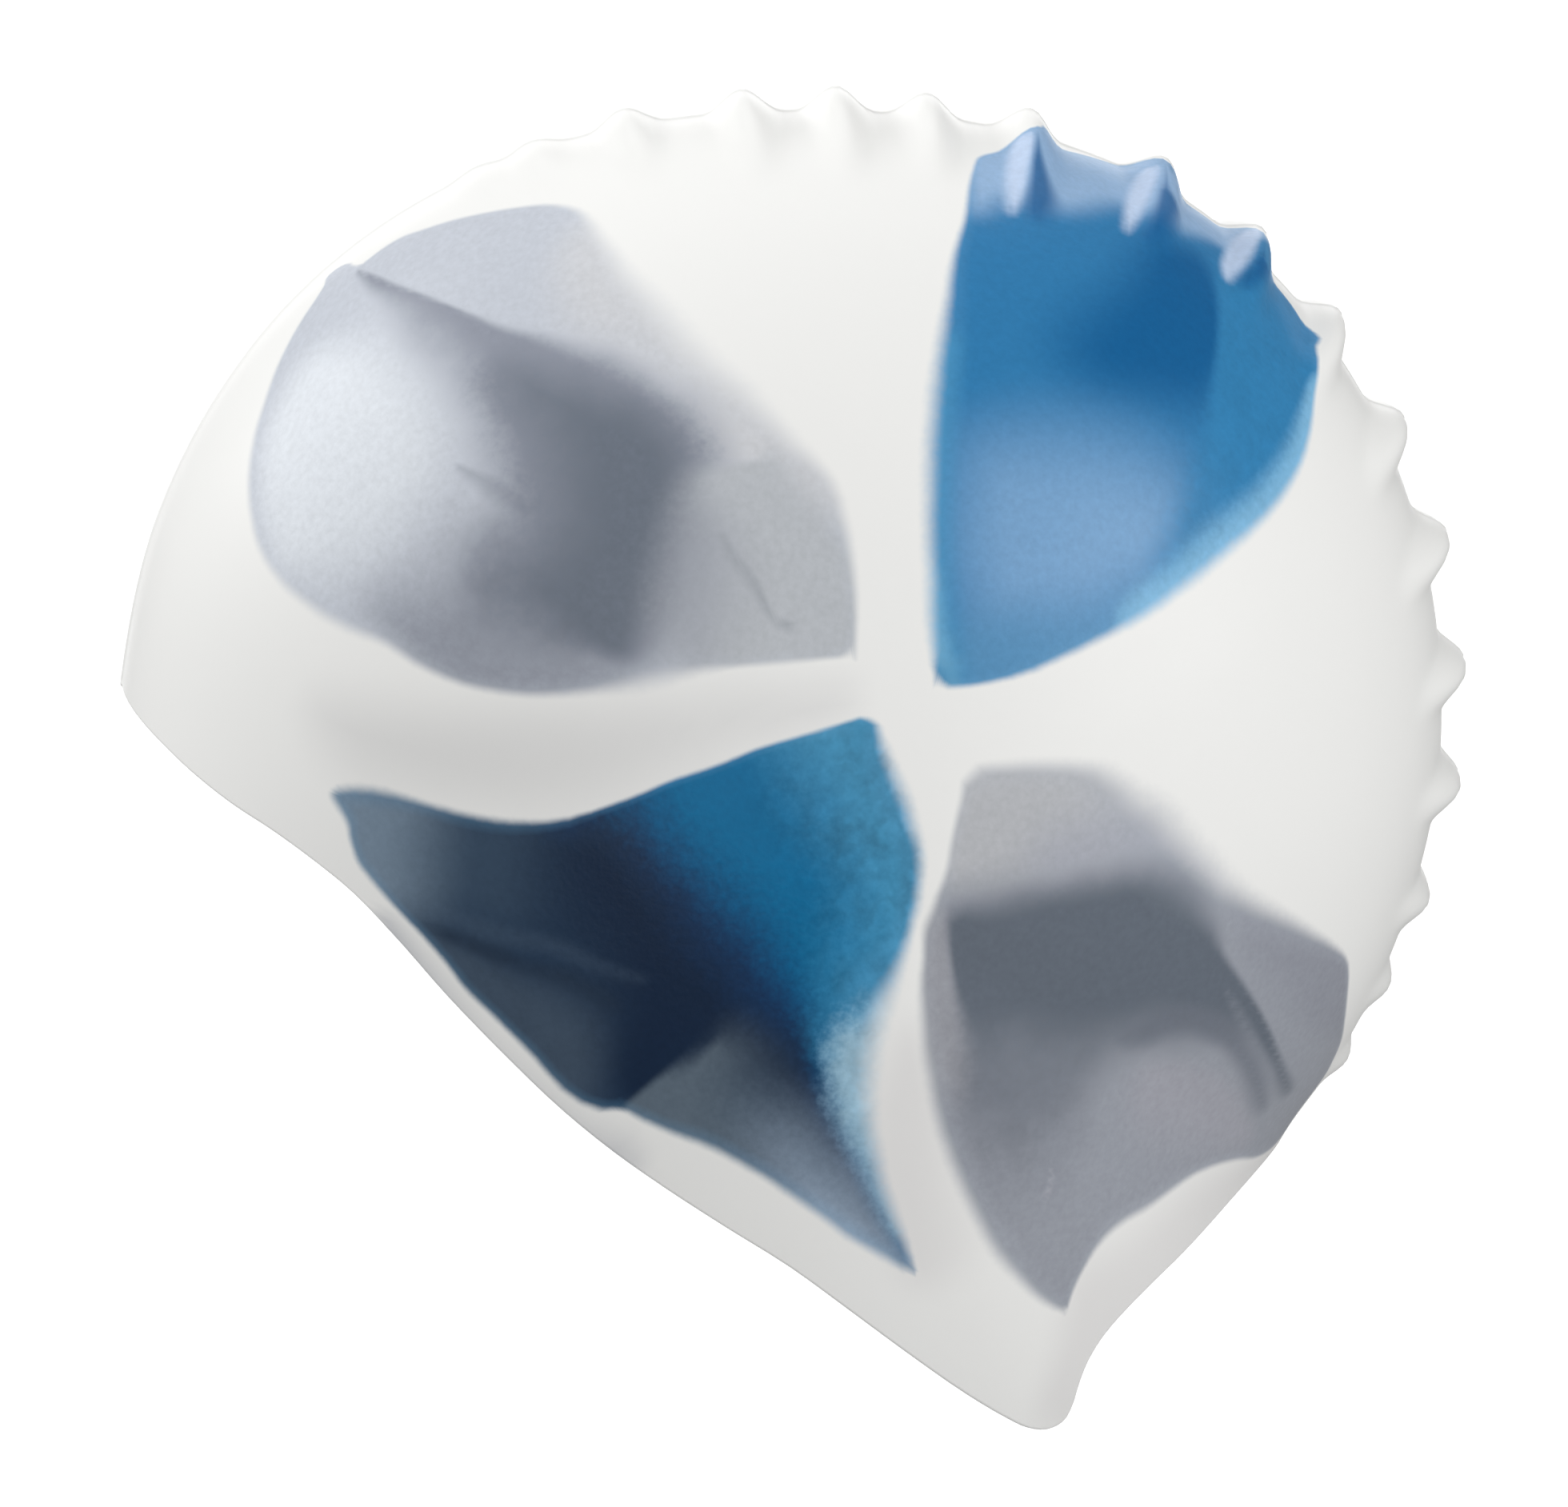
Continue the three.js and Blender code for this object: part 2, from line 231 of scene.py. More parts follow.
def sideColumns():
    # Turn and tilt of each column's outer end: nape over the crown to the forehead, back along the edge.
    (foreheadTurn, napeTurn), edge = edgePath(cap["edgeColumns"])
    crownTurn = np.linspace(napeTurn, foreheadTurn, cap["crownColumns"])
    shares = edge / (cap["halfLength"], cap["crownHeight"])
    edgeTurn = np.degrees(np.arctan2(shares[:, 1], shares[:, 0]))
    edgeTurn[edgeTurn < 90] += 360
    edgeTilt = np.arcsin(np.minimum(1, np.linalg.norm(shares, axis=1) / crownValue(1, edgeTurn)))
    crownTilt = np.full(len(crownTurn), math.pi / 2)
    return np.concatenate([crownTurn, edgeTurn]), np.concatenate([crownTilt, edgeTilt])


def spreadColumns(turn, tilt, passes=140):
    # Columns crowd at the two ends of the edge, so the inner rings use this copy, evened by passes of
    # a quarter, a half and a quarter.
    for _ in range(passes):
        before, after = np.roll(turn, 1), np.roll(turn, -1)
        before[0] -= 360
        after[-1] += 360
        turn = (before + 2 * turn + after) / 4
        tilt = (np.roll(tilt, 1) + 2 * tilt + np.roll(tilt, -1)) / 4
    return turn, tilt


def sideGrid(shares):
    # Turn and tilt of a grid of rings by columns. Ring s lies at share s of each column's tilt, and takes
    # s^4 of the column's own turn and the rest of the evened one.
    turn, tilt = sideColumns()
    evenTurn, evenTilt = spreadColumns(turn, tilt)
    own = shares[:, None] ** 4
    return own * turn + (1 - own) * evenTurn, shares[:, None] * (own * tilt + (1 - own) * evenTilt)


def stripFaces(grid, closed=True):
    # Two triangles for each cell between neighbouring rows of a grid of point numbers.
    if closed:
        grid = np.hstack([grid, grid[:, :1]])
    a, b, c, d = grid[:-1, :-1], grid[1:, :-1], grid[1:, 1:], grid[:-1, 1:]
    return np.concatenate([np.stack([a, b, c], -1).reshape(-1, 3), np.stack([a, c, d], -1).reshape(-1, 3)])


def makeShellMesh():
    # Outer and inner grids on both sides, joined by a half-round rim along the edge. Points that coincide
    # (hubs, crown line, forehead and nape) are merged, and triangles that lose a corner go.
    even = np.linspace(0, 1, cap["outerRings"])
    outerShares = even + cap["ringPull"] * np.sin(math.pi * even)
    outerShares = np.sort(np.concatenate([outerShares, cap["partingRings"]]))
    innerShares = np.linspace(0, 1, cap["innerRings"]) ** 0.8
    onCrown = np.arange(cap["crownColumns"] + cap["edgeColumns"] - 1) < cap["crownColumns"]

    points, triangles, turns, tilts, sides = [], [], [], [], []
    total = 0
    layers = {}
    for depth, shares in ((0, outerShares), (cap["wall"], innerShares)):
        turn, tilt = sideGrid(shares)
        place = capPoint(turn, tilt, depth)
        place[-1, onCrown, 1] = 0
        layers[depth] = turn, tilt, place
    # Half circle from the outer to the inner end of each edge column, bulging away from the cap.
    edgeFrom = cap["crownColumns"] - 1
    edgeIds = np.concatenate([np.arange(edgeFrom, len(onCrown)), [0]])
    outerEnd, innerEnd = layers[0][2][-1, edgeIds], layers[cap["wall"]][2][-1, edgeIds]
    middle, across = (outerEnd + innerEnd) / 2, (outerEnd - innerEnd) / 2
    along = np.gradient(middle, axis=0)
    away = np.cross(along, across)
    away *= np.linalg.norm(across, axis=1, keepdims=True) / np.linalg.norm(away, axis=1, keepdims=True)
    inwardStep = layers[0][2][-2, edgeIds] - outerEnd
    away *= -np.sign(np.sum(away * inwardStep, axis=1, keepdims=True))
    away[[0, -1], 1] = 0
    angle = np.linspace(0, math.pi, cap["rimRows"] + 2)[:, None, None]
    rim = middle + across * np.cos(angle) + away * np.sin(angle)
    rimTurn = np.broadcast_to(layers[0][0][-1, edgeIds], rim.shape[:2])
    rimTilt = np.broadcast_to(layers[0][1][-1, edgeIds], rim.shape[:2])

    for side in (1, -1):
        for turn, tilt, place, closed, flip in (
            (*layers[0], True, False),
            (*layers[cap["wall"]], True, True),
            (rimTurn, rimTilt, rim, False, False),
        ):
            ids = total + np.arange(turn.size).reshape(turn.shape)
            faces = stripFaces(ids, closed)
            triangles.append(faces[:, ::-1] if flip != (side == -1) else faces)
            points.append(place.reshape(-1, 3) * (1, side, 1))
            turns.append(turn.ravel())
            tilts.append(tilt.ravel())
            sides.append(np.full(turn.size, side))
            total += turn.size
    points, triangles = np.concatenate(points), np.concatenate(triangles)
    grain = 1e-7
    _, first, merged = np.unique(
        np.round(points / grain).astype(np.int64), axis=0, return_index=True, return_inverse=True)
    triangles = merged.ravel()[triangles]
    a, b, c = triangles.T
    triangles = triangles[(a != b) & (b != c) & (c != a)]
    points = points[first] + np.array(hub)
    corners = points[triangles]
    volume = np.sum(corners[:, 0] * np.cross(corners[:, 1], corners[:, 2])) / 6
    if volume < 0:
        triangles = triangles[:, ::-1]
    mesh = bpy.data.meshes.new("capShell")
    mesh.from_pydata(points.tolist(), [], triangles.tolist())
    mesh.polygons.foreach_set("use_smooth", np.ones(len(triangles), dtype=bool))
    mesh.update()
    print("shell:", len(points), "points,", len(triangles), "triangles,", round(abs(volume) * 1e6, 1), "cm3")
    lookup = dict(turn=np.concatenate(turns)[first], tilt=np.concatenate(tilts)[first],
                  side=np.concatenate(sides)[first])
    return mesh, lookup
# The coloured fields, as closed outlines on the photograph. A row is (across, down, softness), all in
# its pixels: softness is half the width over which the colour gives way there. A row that stands twice
# is a corner. tone: the pigment's sRGB colour.
whiteTone = (235, 235, 233)
fields = {
    "slateFront": dict(family="slate", tone=(190, 195, 204), tones=[], outline=[
        (453, 337, 4), (461, 322, 4), (479, 303, 5), (502, 290, 5), (524, 284, 5), (565, 272, 5),
        (616, 261, 5), (678, 256, 6), (710, 259, 8), (731, 270, 12), (759, 312, 20), (792, 358, 26),
        (833, 402, 30), (873, 446, 30), (922, 488, 26), (960, 523, 20), (992, 556, 16), (1024, 584, 12),
        (1046, 616, 10), (1059, 664, 9), (1068, 720, 7), (1071, 771, 5), (1068, 820, 4), (1068, 820, 4),
        (1035, 823, 4), (979, 828, 5), (912, 834, 5), (860, 842, 10), (810, 852, 14), (739, 864, 8),
        (667, 869, 6), (606, 861, 6), (565, 850, 6), (519, 828, 7), (479, 802, 8), (433, 784, 10),
        (392, 760, 10), (351, 726, 9), (327, 690, 8), (315, 648, 8), (311, 597, 8), (318, 546, 8),
        (331, 500, 7), (343, 460, 6), (358, 424, 5), (377, 398, 5), (397, 376, 4), (407, 358, 3),
        (405, 345, 3), (411, 333, 3), (424, 325, 3), (438, 330, 4), (446, 340, 4), (453, 337, 4),
    ]),
    "blueBack": dict(family="blue", tone=(48, 119, 169), tones=[], outline=[
        (1217, 198, 4), (1224, 191, 4), (1245, 187, 4), (1262, 178, 4), (1278, 160, 3), (1293, 154, 3),
        (1303, 162, 3), (1309, 180, 3), (1336, 184, 4), (1369, 193, 4), (1398, 206, 4), (1420, 207, 4),
        (1445, 190, 4), (1462, 200, 4), (1468, 236, 4), (1500, 262, 4), (1530, 284, 4), (1556, 274, 4),
        (1582, 286, 4), (1586, 336, 4), (1608, 366, 4), (1629, 401, 4), (1647, 429, 4), (1647, 429, 4),
        (1648, 450, 4), (1646, 479, 5), (1640, 527, 7), (1628, 575, 8), (1604, 618, 9), (1571, 656, 10),
        (1528, 694, 11), (1485, 729, 11), (1437, 765, 9), (1380, 796, 7), (1332, 820, 6), (1284, 841, 5),
        (1240, 853, 4), (1207, 858, 4), (1183, 859, 4), (1168, 856, 3), (1168, 856, 3), (1166, 814, 8),
        (1163, 776, 10), (1163, 704, 12), (1162, 640, 13), (1163, 584, 14), (1167, 513, 14),
        (1172, 455, 13), (1183, 385, 11), (1192, 321, 8), (1206, 273, 6), (1211, 235, 5),
    ]),
    "tealFront": dict(family="blue", tone=(36, 55, 78), tones=[], outline=[
        (415, 992, 7), (432, 986, 8), (475, 989, 8), (524, 1002, 6), (574, 1016, 6), (624, 1026, 6),
        (669, 1028, 5), (708, 1024, 4), (748, 1012, 3), (798, 993, 3), (838, 976, 3), (898, 956, 3),
        (947, 936, 3), (997, 921, 3), (1047, 906, 3), (1072, 898, 3), (1090, 893, 3), (1090, 893, 3),
        (1097, 905, 6), (1106, 940, 10), (1126, 989, 12), (1141, 1034, 11), (1150, 1069, 10),
        (1149, 1104, 9), (1141, 1149, 9), (1128, 1198, 11), (1108, 1248, 13), (1091, 1303, 12),
        (1085, 1353, 11), (1087, 1402, 9), (1097, 1452, 8), (1111, 1502, 7), (1131, 1552, 5),
        (1145, 1591, 3), (1145, 1591, 3), (1134, 1589, 4), (1106, 1572, 5), (1062, 1547, 5),
        (1022, 1517, 5), (972, 1482, 5), (927, 1455, 5), (883, 1432, 5), (838, 1415, 4), (798, 1397, 4),
        (777, 1384, 3), (777, 1384, 3), (766, 1386, 3), (748, 1388, 3), (733, 1382, 4), (713, 1370, 4),
        (694, 1353, 4), (669, 1323, 4), (639, 1293, 4), (609, 1263, 4), (581, 1236, 4), (555, 1201, 4),
        (525, 1167, 4), (496, 1137, 4), (466, 1102, 5), (447, 1077, 5), (438, 1049, 5), (434, 1029, 6),
        (423, 1009, 7),
    ]),
    "slateBack": dict(family="slate", tone=(151, 155, 164), tones=[], outline=[
        (1207, 974, 7), (1223, 962, 9), (1256, 959, 9), (1293, 957, 10), (1330, 958, 11), (1363, 962, 14),
        (1391, 976, 20), (1417, 998, 26), (1450, 1022, 30), (1482, 1052, 30), (1508, 1080, 28),
        (1532, 1104, 24), (1565, 1126, 20), (1598, 1143, 16), (1635, 1163, 12), (1666, 1182, 8),
        (1683, 1198, 5), (1686, 1219, 4), (1684, 1247, 4), (1681, 1275, 4), (1674, 1303, 4),
        (1664, 1331, 4), (1648, 1358, 4), (1630, 1391, 4), (1610, 1421, 4), (1577, 1444, 4),
        (1549, 1449, 5), (1521, 1456, 5), (1493, 1468, 5), (1465, 1487, 5), (1437, 1508, 5),
        (1409, 1524, 5), (1386, 1542, 5), (1368, 1563, 5), (1354, 1587, 4), (1342, 1612, 4),
        (1333, 1640, 3), (1333, 1640, 3), (1316, 1633, 4), (1293, 1617, 5), (1270, 1594, 6),
        (1246, 1566, 7), (1223, 1526, 7), (1200, 1480, 7), (1181, 1428, 7), (1167, 1377, 7),
        (1158, 1326, 7), (1153, 1275, 7), (1151, 1228, 7), (1154, 1191, 7), (1161, 1149, 7),
        (1174, 1116, 6), (1184, 1088, 5), (1189, 1056, 5), (1198, 1014, 5),
    ]),
}


def addTone(field, name, tone, strength, *outlines, crisp=False, ragged=0.35):
    # A tone inside a field, over the ones before it. The blurred ones are mixed at the mesh's points,
    # and the crisp ones after them in the material, where the grain makes their edges ragged.
    fields[field]["tones"].append(dict(
        name=name, tone=tone, strength=strength, outlines=outlines, crisp=crisp, ragged=ragged))


# Painted highlight: the left soft box's reflection, put into the slate's colour.
addTone("slateFront", "leftPaintedHighlight", (216, 221, 227), 0.9, [
    (395, 440, 45), (470, 440, 50), (530, 500, 50), (545, 576, 45), (512, 640, 50), (450, 700, 60),
    (352, 712, 40), (325, 610, 30), (345, 510, 35),
])
addTone("slateFront", "leftShade", (147, 152, 163), 0.95, [
    (610, 660, 60), (540, 720, 60), (470, 755, 50), (490, 810, 40), (560, 870, 30), (680, 890, 30),
    (790, 870, 30), (830, 800, 50), (740, 700, 60), (660, 660, 60),
])
addTone("slateFront", "rightPale", (202, 203, 206), 0.95, [
    (735, 275, 26), (800, 340, 30), (860, 410, 34), (930, 470, 30), (1010, 540, 24), (1070, 600, 20),
    (1060, 660, 20), (960, 600, 30), (900, 570, 40), (850, 500, 50), (780, 440, 50), (720, 400, 50),
    (700, 330, 40),
])
addTone("slateFront", "band", (141, 146, 158), 1, [
    (446, 338, 6), (500, 357, 5), (565, 383, 4), (627, 409, 8), (688, 424, 14), (734, 440, 22),
    (774, 452, 26), (822, 480, 28), (868, 520, 34), (895, 580, 38), (895, 650, 38), (878, 725, 36),
    (846, 795, 28), (796, 828, 10), (739, 819, 7), (698, 797, 14), (650, 768, 30), (606, 735, 45),
    (606, 690, 45), (636, 640, 40), (622, 590, 36), (606, 540, 36), (588, 490, 44), (556, 440, 46),
    (512, 400, 36), (472, 367, 16),
], crisp=True, ragged=0.7)
addTone("slateFront", "bandCore", (107, 115, 127), 1, [
    (640, 470, 60), (720, 480, 45), (810, 512, 40), (858, 570, 40), (854, 660, 40), (830, 740, 36),
    (790, 822, 16), (742, 812, 14), (682, 788, 40), (622, 748, 55), (670, 680, 60), (690, 630, 60),
    (680, 560, 60),
], crisp=True, ragged=0.7)
addTone("slateFront", "wedge", (181, 185, 190), 0.95, [
    (870, 602, 30), (917, 583, 5), (963, 562, 5), (990, 590, 24), (1040, 650, 24), (1100, 720, 20),
    (1090, 840, 12), (960, 850, 12), (860, 850, 30), (852, 785, 55), (868, 695, 60),
], crisp=True)
addTone("slateFront", "wedgeShade", (146, 150, 160), 0.6, [
    (862, 660, 40), (895, 650, 40), (915, 710, 50), (900, 790, 45), (870, 850, 30), (840, 800, 40),
    (845, 710, 40),
], crisp=True, ragged=0.2)
addTone("slateFront", "wedgeFold", (156, 160, 167), 0.75, [
    (900, 662, 5), (920, 692, 5), (944, 719, 4), (959, 754, 3), (979, 775, 3), (1016, 783, 4),
    (1066, 786, 4), (1066, 790, 8), (1012, 792, 8), (972, 783, 6), (950, 756, 6), (932, 722, 8),
    (908, 696, 8),
], crisp=True)
addTone("slateFront", "smallFold", (118, 124, 136), 0.4, [
    (566, 578, 5), (590, 588, 5), (620, 599, 6), (645, 618, 6), (660, 640, 8), (640, 636, 12),
    (606, 612, 12), (580, 596, 10),
], crisp=True)

# Painted reflection: the pale band along the crown line where the top light reflects at a grazing angle.
addTone("blueBack", "crestPaintedReflection", (150, 180, 213), 0.9, [
    (1212, 180, 14), (1290, 150, 20), (1400, 190, 20), (1470, 215, 20), (1550, 262, 20), (1620, 340, 16),
    (1660, 440, 14), (1622, 440, 20), (1590, 372, 20), (1560, 330, 18), (1520, 304, 20), (1460, 272, 26),
    (1400, 256, 30), (1336, 262, 30), (1262, 250, 34), (1215, 260, 26),
])
addTone("blueBack", "deep", (20, 92, 145), 1, [
    (1330, 420, 60), (1400, 350, 50), (1440, 300, 40), (1500, 320, 30), (1524, 380, 14), (1522, 450, 12),
    (1500, 505, 40), (1430, 500, 50), (1360, 480, 60),
])
# Painted highlight: the right soft box's reflection, put into the blue; the lamps add their own reflection
# over it.
addTone("blueBack", "glow", (122, 163, 202), 0.9, [
    (1195, 640, 60), (1225, 560, 70), (1320, 545, 80), (1410, 568, 80), (1488, 622, 70), (1510, 670, 60),
    (1440, 740, 60), (1340, 790, 70), (1240, 790, 60), (1200, 720, 60),
])
addTone("blueBack", "lowPale", (90, 143, 183), 0.85, [
    (1160, 880, 10), (1150, 800, 30), (1250, 770, 40), (1360, 770, 40), (1460, 720, 30), (1500, 740, 20),
    (1400, 820, 20), (1300, 860, 20), (1200, 890, 14),
])
addTone("blueBack", "rightPanel", (50, 125, 174), 0.9, [
    (1524, 320, 12), (1524, 400, 10), (1518, 470, 11), (1508, 530, 16), (1490, 590, 24), (1470, 650, 30),
    (1450, 720, 30), (1560, 720, 20), (1680, 560, 20), (1690, 400, 20), (1600, 300, 14),
], crisp=True, ragged=0.5)
addTone("blueBack", "cyanFringe", (132, 186, 220), 0.9, [
    (1650, 465, 8), (1630, 500, 12), (1610, 558, 18), (1572, 612, 20), (1518, 660, 22), (1462, 710, 20),
    (1400, 765, 14), (1420, 810, 10), (1530, 740, 10), (1630, 640, 10), (1680, 500, 8),
], crisp=True, ragged=0.3)
addTone("blueBack", "leftBand", (66, 140, 184), 0.8, [
    (1140, 860, 12), (1140, 500, 12), (1180, 420, 14), (1200, 430, 16), (1190, 520, 16), (1186, 640, 16),
    (1190, 760, 18), (1200, 860, 18),
])
# Painted highlight on the front flanks of three ribs, as if lit from the left and above.
addTone("blueBack", "ribPaintedHighlight", (190, 207, 232), 0.92, [
    (1284, 166, 7), (1265, 181, 8), (1257, 219, 10), (1261, 265, 14), (1276, 250, 9), (1286, 204, 6),
    (1292, 170, 6),
], [
    (1442, 207, 6), (1421, 221, 8), (1407, 255, 9), (1406, 289, 12), (1421, 276, 10), (1438, 242, 7),
    (1448, 214, 6),
], [
    (1565, 286, 6), (1541, 300, 8), (1527, 327, 9), (1534, 351, 12), (1554, 334, 9), (1572, 303, 6),
    (1575, 289, 5),
], crisp=True, ragged=0.2)
# Painted shade on the rear flanks of the same three ribs.
addTone("blueBack", "ribPaintedShade", (24, 90, 144), 0.85, [
    (1294, 162, 5), (1303, 196, 7), (1320, 250, 16), (1303, 273, 20), (1284, 262, 14), (1290, 212, 6),
], [
    (1452, 207, 5), (1461, 235, 7), (1472, 269, 14), (1455, 296, 20), (1431, 296, 16), (1446, 255, 7),
], [
    (1577, 293, 4), (1580, 324, 5), (1587, 341, 9), (1565, 358, 16), (1549, 351, 12), (1573, 320, 6),
], crisp=True, ragged=0.2)
addTone("blueBack", "lowCorner", (120, 176, 208), 0.8, [
    (1150, 700, 8), (1172, 720, 10), (1180, 790, 10), (1196, 870, 10), (1150, 870, 8),
])

addTone("tealFront", "slateMiddle", (58, 76, 96), 0.9, [
    (450, 1000, 30), (580, 1010, 35), (680, 1030, 50), (680, 1090, 60), (640, 1150, 50), (560, 1150, 40),
    (480, 1120, 30),
])
addTone("tealFront", "slateEnd", (116, 134, 151), 1, [
    (400, 970, 20), (480, 985, 35), (530, 1005, 50), (530, 1060, 60), (520, 1130, 50), (470, 1130, 30),
    (400, 1040, 20),
])
addTone("tealFront", "navyCore", (20, 38, 62), 1, [
    (690, 1050, 60), (760, 1040, 50), (860, 1110, 60), (950, 1200, 50), (1000, 1290, 45),
    (1015, 1380, 40), (930, 1340, 40), (860, 1350, 30), (790, 1380, 14), (760, 1330, 30), (770, 1260, 40),
    (740, 1180, 50), (700, 1110, 60),
])
addTone("tealFront", "deepBlue", (15, 58, 104), 0.95, [
    (700, 1010, 40), (770, 1000, 46), (815, 1060, 50), (885, 1150, 50), (950, 1240, 40), (1010, 1300, 30),
    (1040, 1400, 22), (1100, 1510, 14), (1160, 1610, 10), (1190, 1500, 20), (1190, 880, 20),
    (900, 880, 20),
], crisp=True)
addTone("tealFront", "teal", (8, 104, 150), 1, [
    (765, 970, 40), (808, 1012, 46), (874, 1082, 44), (948, 1160, 38), (1005, 1250, 26), (1027, 1330, 16),
    (1046, 1400, 12), (1082, 1470, 10), (1120, 1540, 10), (1160, 1610, 8), (1190, 1500, 20),
    (1190, 880, 20), (1090, 850, 20), (900, 880, 20),
], crisp=True, ragged=0.6)
addTone("tealFront", "tealLight", (72, 146, 184), 0.9, [
    (960, 900, 30), (1000, 960, 50), (1050, 1060, 50), (1070, 1150, 50), (1050, 1240, 36),
    (1040, 1330, 16), (1180, 1330, 20), (1190, 1000, 20), (1110, 860, 20),
], crisp=True, ragged=0.45)
addTone("tealFront", "feather", (160, 192, 208), 0.95, [
    (1050, 1284, 14), (1078, 1274, 18), (1108, 1252, 20), (1150, 1270, 20), (1120, 1380, 16),
    (1100, 1450, 12), (1130, 1540, 8), (1112, 1530, 8), (1078, 1458, 10), (1050, 1400, 12),
    (1036, 1330, 12),
], crisp=True, ragged=0.9)
addTone("tealFront", "lowerSlate", (94, 108, 121), 0.95, [
    (772, 1390, 3), (800, 1366, 4), (832, 1344, 4), (868, 1322, 6), (900, 1302, 10), (925, 1320, 40),
    (940, 1380, 60), (990, 1450, 55), (1050, 1520, 50), (1110, 1600, 30), (1010, 1560, 10),
    (880, 1470, 10), (790, 1410, 8),
], crisp=True, ragged=0.12)
addTone("tealFront", "underFold", (68, 83, 100), 0.85, [
    (520, 1165, 14), (580, 1180, 16), (640, 1215, 22), (700, 1240, 30), (745, 1290, 30), (740, 1370, 24),
    (690, 1390, 20), (600, 1300, 14),
])
# Painted highlight along a fold streak, with no fold in the mesh.
addTone("tealFront", "foldPaintedHighlight", (84, 102, 122), 0.22, [
    (490, 1116, 10), (560, 1135, 9), (630, 1160, 8), (700, 1175, 8), (750, 1202, 7), (810, 1226, 8),
    (750, 1216, 9), (690, 1194, 9), (620, 1180, 9), (550, 1152, 9),
], crisp=True)
# Painted shade in a line beneath that fold streak.
addTone("tealFront", "foldPaintedShade", (34, 48, 66), 0.6, [
    (530, 1156, 7), (600, 1176, 6), (655, 1200, 6), (705, 1212, 8), (760, 1240, 9), (770, 1262, 10),
    (715, 1240, 9), (655, 1214, 7), (590, 1192, 7),
], crisp=True)
addTone("tealFront", "tipSlate", (146, 163, 182), 1, [
    (980, 1440, 60), (1050, 1470, 44), (1095, 1525, 20), (1150, 1610, 10), (1090, 1600, 14),
    (1000, 1540, 20),
], crisp=True, ragged=0.1)

addTone("slateBack", "topPale", (181, 183, 187), 0.95, [
    (1190, 950, 20), (1280, 940, 25), (1360, 950, 30), (1410, 1010, 45), (1380, 1060, 50),
    (1300, 1085, 36), (1200, 1105, 26), (1170, 1100, 14), (1180, 1020, 12),
])
addTone("slateBack", "topGrey", (166, 169, 179), 0.8, [
    (1300, 1050, 40), (1400, 1010, 40), (1480, 1040, 30), (1540, 1100, 24), (1500, 1110, 26),
    (1400, 1100, 26), (1310, 1112, 26),
])
addTone("slateBack", "backBand", (99, 107, 118), 1, [
    (1188, 1138, 14), (1240, 1130, 24), (1310, 1114, 26), (1380, 1098, 28), (1440, 1086, 32),
    (1490, 1104, 32), (1516, 1156, 20), (1530, 1192, 8), (1556, 1232, 6), (1584, 1280, 5),
    (1604, 1330, 8), (1614, 1362, 16), (1604, 1364, 20), (1584, 1330, 18), (1550, 1296, 20),
    (1500, 1290, 40), (1430, 1292, 50), (1350, 1322, 60), (1260, 1336, 55), (1200, 1300, 24),
    (1187, 1200, 8),
], crisp=True, ragged=0.5)
addTone("slateBack", "bandStripe", (138, 143, 153), 0.6, [
    (1534, 1240, 8), (1556, 1270, 8), (1578, 1310, 9), (1592, 1352, 10), (1576, 1352, 10),
    (1562, 1312, 9), (1546, 1276, 8),
], crisp=True, ragged=0.1)
addTone("slateBack", "darkArc", (108, 114, 125), 0.8, [
    (1400, 1300, 14), (1440, 1272, 12), (1482, 1258, 12), (1524, 1268, 12), (1556, 1300, 12),
    (1580, 1350, 14), (1582, 1384, 22), (1570, 1382, 22), (1552, 1340, 14), (1520, 1304, 14),
    (1480, 1292, 16), (1430, 1306, 18),
], crisp=True)
addTone("slateBack", "lowMottle", (118, 123, 133), 0.85, [
    (1190, 1290, 30), (1270, 1320, 40), (1350, 1330, 50), (1340, 1400, 60), (1270, 1450, 60),
    (1215, 1430, 40), (1185, 1360, 24),
])
addTone("slateBack", "lowGlow", (160, 161, 170), 0.9, [
    (1430, 1335, 24), (1480, 1330, 18), (1530, 1350, 16), (1562, 1390, 20), (1560, 1430, 20),
    (1480, 1430, 40), (1420, 1400, 40),
])
addTone("slateBack", "cornerLight", (140, 143, 153), 0.7, [
    (1540, 1110, 20), (1600, 1135, 20), (1700, 1180, 20), (1700, 1290, 20), (1650, 1290, 26),
    (1600, 1230, 30), (1550, 1170, 20),
])
addTone("slateBack", "leftStrip", (152, 154, 161), 0.9, [
    (1140, 1130, 8), (1176, 1130, 8), (1184, 1180, 7), (1192, 1240, 10), (1204, 1300, 18),
    (1200, 1360, 24), (1150, 1340, 10),
], crisp=True)
addTone("slateBack", "pinMark", (172, 172, 182), 0.6, [
    (1313, 1452, 3), (1318, 1470, 3), (1313, 1492, 4), (1306, 1499, 3), (1303, 1494, 3), (1309, 1484, 3),
], crisp=True)

